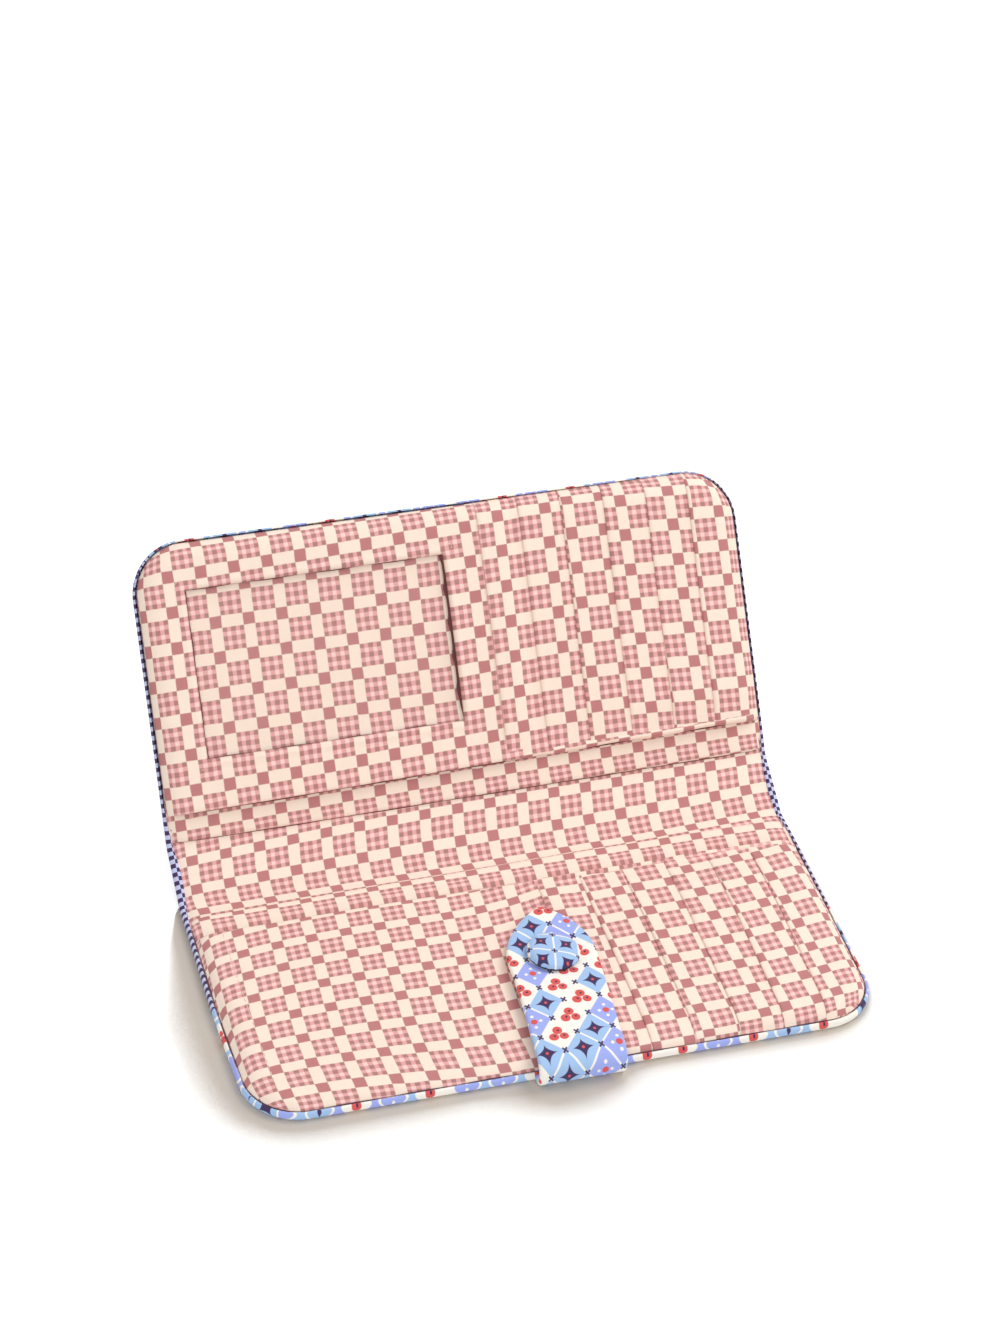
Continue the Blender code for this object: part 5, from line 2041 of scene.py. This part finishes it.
@dataclass
class Studio:
    """Camera, pale floor, white surround and soft lamps."""

    camera_place: tuple[float, float, float] = (-0.307296, -0.830157, 0.855205)
    right: tuple[float, float, float] = (0.95686, -0.28488, 0.05707)
    up: tuple[float, float, float] = (0.14151, 0.62853, 0.76480)
    back: tuple[float, float, float] = (-0.25375, -0.72373, 0.64173)
    lens: float = 112.078
    ambient: float = 0.66
    floor_side: float = 6.0
    towards_window: tuple[float, float, float] = (0.42, 0.25, 0.87)
    lamps: tuple[Lamp, ...] = (
        Lamp("key_lamp", (0.62, 0.2, 0.95), 0.6, 5.05),
        Lamp("front_lamp", (-0.3, -1.1, 0.8), 0.8, 3.8))

    def build(self) -> None:
        """Everything round the wallet."""
        self.hang_camera()
        self.lay_floor()
        self.light_world()
        for lamp in self.lamps:
            lamp.hang()
        view = bpy.context.scene.view_settings
        view.view_transform = "Standard"

    def hang_camera(self) -> None:
        """The camera, from its place and its three directions."""
        data = bpy.data.cameras.new("camera")
        data.lens = self.lens
        data.sensor_width = 36.0
        data.sensor_fit = "AUTO"
        data.clip_start = 0.01
        camera = bpy.data.objects.new("camera", data)
        turn = Matrix((self.right, self.up, self.back)).transposed()
        camera.matrix_world = Matrix.Translation(self.camera_place) @ turn.to_4x4()
        bpy.context.scene.collection.objects.link(camera)
        bpy.context.scene.camera = camera

    def lay_floor(self) -> None:
        """A wide plain floor that keeps the wallet's soft shadow: white to the camera, and
        darker and warmer where what lies on it hides the sky towards the window at the
        right. The shade reaches furthest at the left, as in the photograph."""
        side = self.floor_side
        points = np.array([(-side, -side, 0.0), (side, -side, 0.0), (side, side, 0.0),
                           (-side, side, 0.0)])
        floor = mesh_piece("floor", points, np.array([[0, 1, 2, 3]]))
        material, nodes, shader = new_material("pale_floor")
        path = nodes.add("ShaderNodeLightPath")
        seen = nodes.math("MAXIMUM", path.outputs["Is Camera Ray"], path.outputs["Is Glossy Ray"])
        free = self.free_floor(nodes)
        # painted shade: the floor's colour darkens with the share of sky that the wallet hides, so
        # its soft shadow is painted into the floor, not cast by the lamps
        nodes.feed(shader.inputs["Base Color"],
                   nodes.mix(seen, (0.80, 0.79, 0.77),
                             nodes.mix(free, (0.58, 0.52, 0.46), (1.0, 1.0, 1.0))))
        shader.inputs["Roughness"].default_value = 0.9
        shader.inputs["Specular IOR Level"].default_value = 0.0
        nodes.feed(shader.inputs["Emission Color"], (1.0, 1.0, 1.0))
        nodes.feed(shader.inputs["Emission Strength"], nodes.math(
            "MULTIPLY", nodes.math("MULTIPLY", path.outputs["Is Camera Ray"], free), 0.45))
        floor.data.materials.append(material)

    def free_floor(self, nodes: Nodes) -> Socket:
        """How free of shade the floor is: 1 where nothing lies near it.

        The share of sky that the wallet hides within a reach, past a small share that isn't
        counted, times a gain. The gain grows to the left and fades out behind the covers.

        Args:
            nodes: The floor material's nodes.

        Returns:
            A share of 0 to 1.
        """
        across, along = nodes.split(nodes.add("ShaderNodeTexCoord").outputs["Object"])
        sky = nodes.add("ShaderNodeAmbientOcclusion", samples=32)
        nodes.feed(sky.inputs["Distance"], self.shade_reach(nodes, across, along))
        tip = nodes.add("ShaderNodeCombineXYZ")
        for socket, part in zip(tip.inputs, self.towards_window):
            socket.default_value = part
        nodes.feed(sky.inputs["Normal"], tip.outputs[0])
        gain = nodes.math("MAXIMUM", nodes.math("MULTIPLY_ADD", across, -100.0, 5.2), 4.4)
        fade = nodes.held(nodes.math("MULTIPLY_ADD", along, -40.0, 2.5), 0.0, 1.0)
        gain = nodes.math("MULTIPLY", gain, fade)
        hidden = nodes.math("SUBTRACT", 0.94, sky.outputs["AO"])
        shade = nodes.math("MULTIPLY", nodes.math("MAXIMUM", hidden, 0.0), gain)
        clear = nodes.math("MULTIPLY", nodes.math("MINIMUM", hidden, 0.0), -7.5)
        free = nodes.math("MULTIPLY_ADD", nodes.inverse(shade), 0.56, clear)
        return nodes.held(free, 0.0, 1.0)

    def shade_reach(self, nodes: Nodes, across: Socket,
                    along: Socket) -> Socket:
        """How far the shade reaches, in metres: further at the left, where up to 6 mm more
        is added in front, and shorter and shorter behind the lower fold.

        Args:
            nodes: The floor material's nodes.
            across: The floor's x.
            along: The floor's y.

        Returns:
            The reach.
        """
        span = nodes.math("MAXIMUM", nodes.math(
            "MULTIPLY_ADD", nodes.math("MAXIMUM", across, -0.07), -0.11, 0.0122), 0.0075)
        front = nodes.held(nodes.math("MULTIPLY_ADD", along, -0.5, -0.0175), 0.0, 0.006)
        leftward = nodes.held(nodes.math("MULTIPLY_ADD", across, -6.0, 0.5), 0.2, 1.0)
        span = nodes.math("MULTIPLY_ADD", front, leftward, span)
        raised = nodes.held(nodes.math("MULTIPLY", along, 20.0), 0.0, 0.94)
        return nodes.math("MULTIPLY", span, nodes.inverse(raised))

    def light_world(self) -> None:
        """An even white surround, fully white to the camera."""
        world = bpy.data.worlds.new("studio")
        bpy.context.scene.world = world
        world.use_nodes = True
        nodes = Nodes(world.node_tree)
        ground = world.node_tree.nodes["Background"]
        path = nodes.add("ShaderNodeLightPath")
        seen = nodes.math("MAXIMUM", path.outputs["Is Camera Ray"], path.outputs["Is Glossy Ray"])
        seen = nodes.math("MAXIMUM", seen, path.outputs["Is Transmission Ray"])
        nodes.feed(ground.inputs["Color"], (1.0, 1.0, 1.0))
        nodes.feed(ground.inputs["Strength"],
                   nodes.math("ADD", self.ambient, nodes.math("MULTIPLY", seen,
                                                              1.0 - self.ambient)))


LAYS = {
    "backing": Lay((-0.328, 9.465, 1.067, 0.153, 0.737, -1.102, 0.058, -0.212, -0.583, 0.318),
                   (0.043, -0.005, 9.266, -0.307, -0.012, 0.23, -0.355, -0.126, -0.151, -0.152),
                   (40.0 * MM, 100.0 * MM)),
    "frame": Lay((0.037, 9.724, 0.906, -0.123, -0.441, -1.563, -0.083, -0.131, 0.272, 0.84),
                 (0.289, -0.329, 9.836, -0.025, 0.098, -0.757, 0.066, 0.087, -0.036, 0.362),
                 (30.0 * MM, 111.0 * MM)),
    "upper_bill": Lay((-0.225, 9.606, 7.237, 0.044, 0.335, -13.273),
                      (0.15, -0.592, 31.696, 0.058, 1.578, -38.631), (22.8 * MM, 29.0 * MM)),
    "lower_bill": Lay((-0.198, 9.657, 3.102, 0.068, -0.589, 16.03),
                      (-0.421, -0.185, 48.64, 0.11, -1.313, 173.983), (-14.5 * MM, -8.0 * MM)),
    "slip": Lay((-0.129, 9.361, 0.748, -0.508, -0.099, 3.285, -0.253, -0.422, 0.231, 2.574),
                (-0.381, -1.329, 12.284, -3.969, 2.087, 3.213, -3.552, 1.424, 2.155, 0.53),
                (-91.0 * MM, -14.0 * MM)),
}
UPPER_STRIPS = ((18.4, 72.9, -0.4, 1.5, 10.78), (33.8, 73.5, -0.3, 0.3, 10.76),
                (41.6, 64.7, 0.7, -0.9, 10.71), (58.3, 72.6, 1.2, -2.7, 10.68),
                (73.9, 73.8, 1.6, -3.5, 10.62, -0.03), (89.1, 65.4, 0.7, -2.4, 10.64))
LOWER_STRIPS = ((14.0, -21.7, -2.1, 0.9, 9.92), (34.1, -47.7, 1.5, 1.6, 10.72),
                (40.1, -48.1, 1.7, 0.5, 10.68, -0.07), (57.9, -55.3, 2.6, 1.6, 10.54, -0.12),
                (74.3, -53.8, 3.4, 6.7, 10.47, -0.10), (80.8, -54.0, 3.4, 10.4, 10.18, -0.21))


def main() -> None:
    """Build the studio and every piece of the wallet, in order."""
    logging.basicConfig(level=logging.INFO, format="%(message)s")
    Studio().build()
    upper_bill = OpenEdge(1.0 * MM, 1.3 * MM, 1.9 * MM)
    upper_panel = OpenEdge(9.5 * MM, 10.7 * MM, 11.9 * MM)
    lower_bill = OpenEdge(7.0 * MM, 5.0 * MM, 4.6 * MM)
    lower_panel = OpenEdge(16.0 * MM, 15.2 * MM, 16.0 * MM)
    outside = QuiltedOutside()
    outside.build()
    outside.stitch()
    Filling().build()
    Lining().build()
    SeamPaintedShade().build()
    Pockets(Half.LOWER, lower_bill, lower_panel, LAYS["lower_bill"], LAYS["slip"]).build()
    Pockets(Half.UPPER, upper_bill, upper_panel, LAYS["upper_bill"], LAYS["backing"]).build()
    SlipPocket(lower_panel, LAYS["slip"]).build()
    CardSlots(Half.UPPER, 12.0 * MM, upper_panel,
              tuple(straight_lay(*numbers) for numbers in UPPER_STRIPS), 5.75 * MM).build()
    CardSlots(Half.LOWER, 10.4 * MM, lower_panel,
              tuple(straight_lay(*numbers) for numbers in LOWER_STRIPS), 5.2 * MM).build()
    IdWindow(upper_panel, LAYS["frame"]).build()
    SnapTab().build()
    SnapMetalwork().dress()


if __name__ == "__main__":
    main()
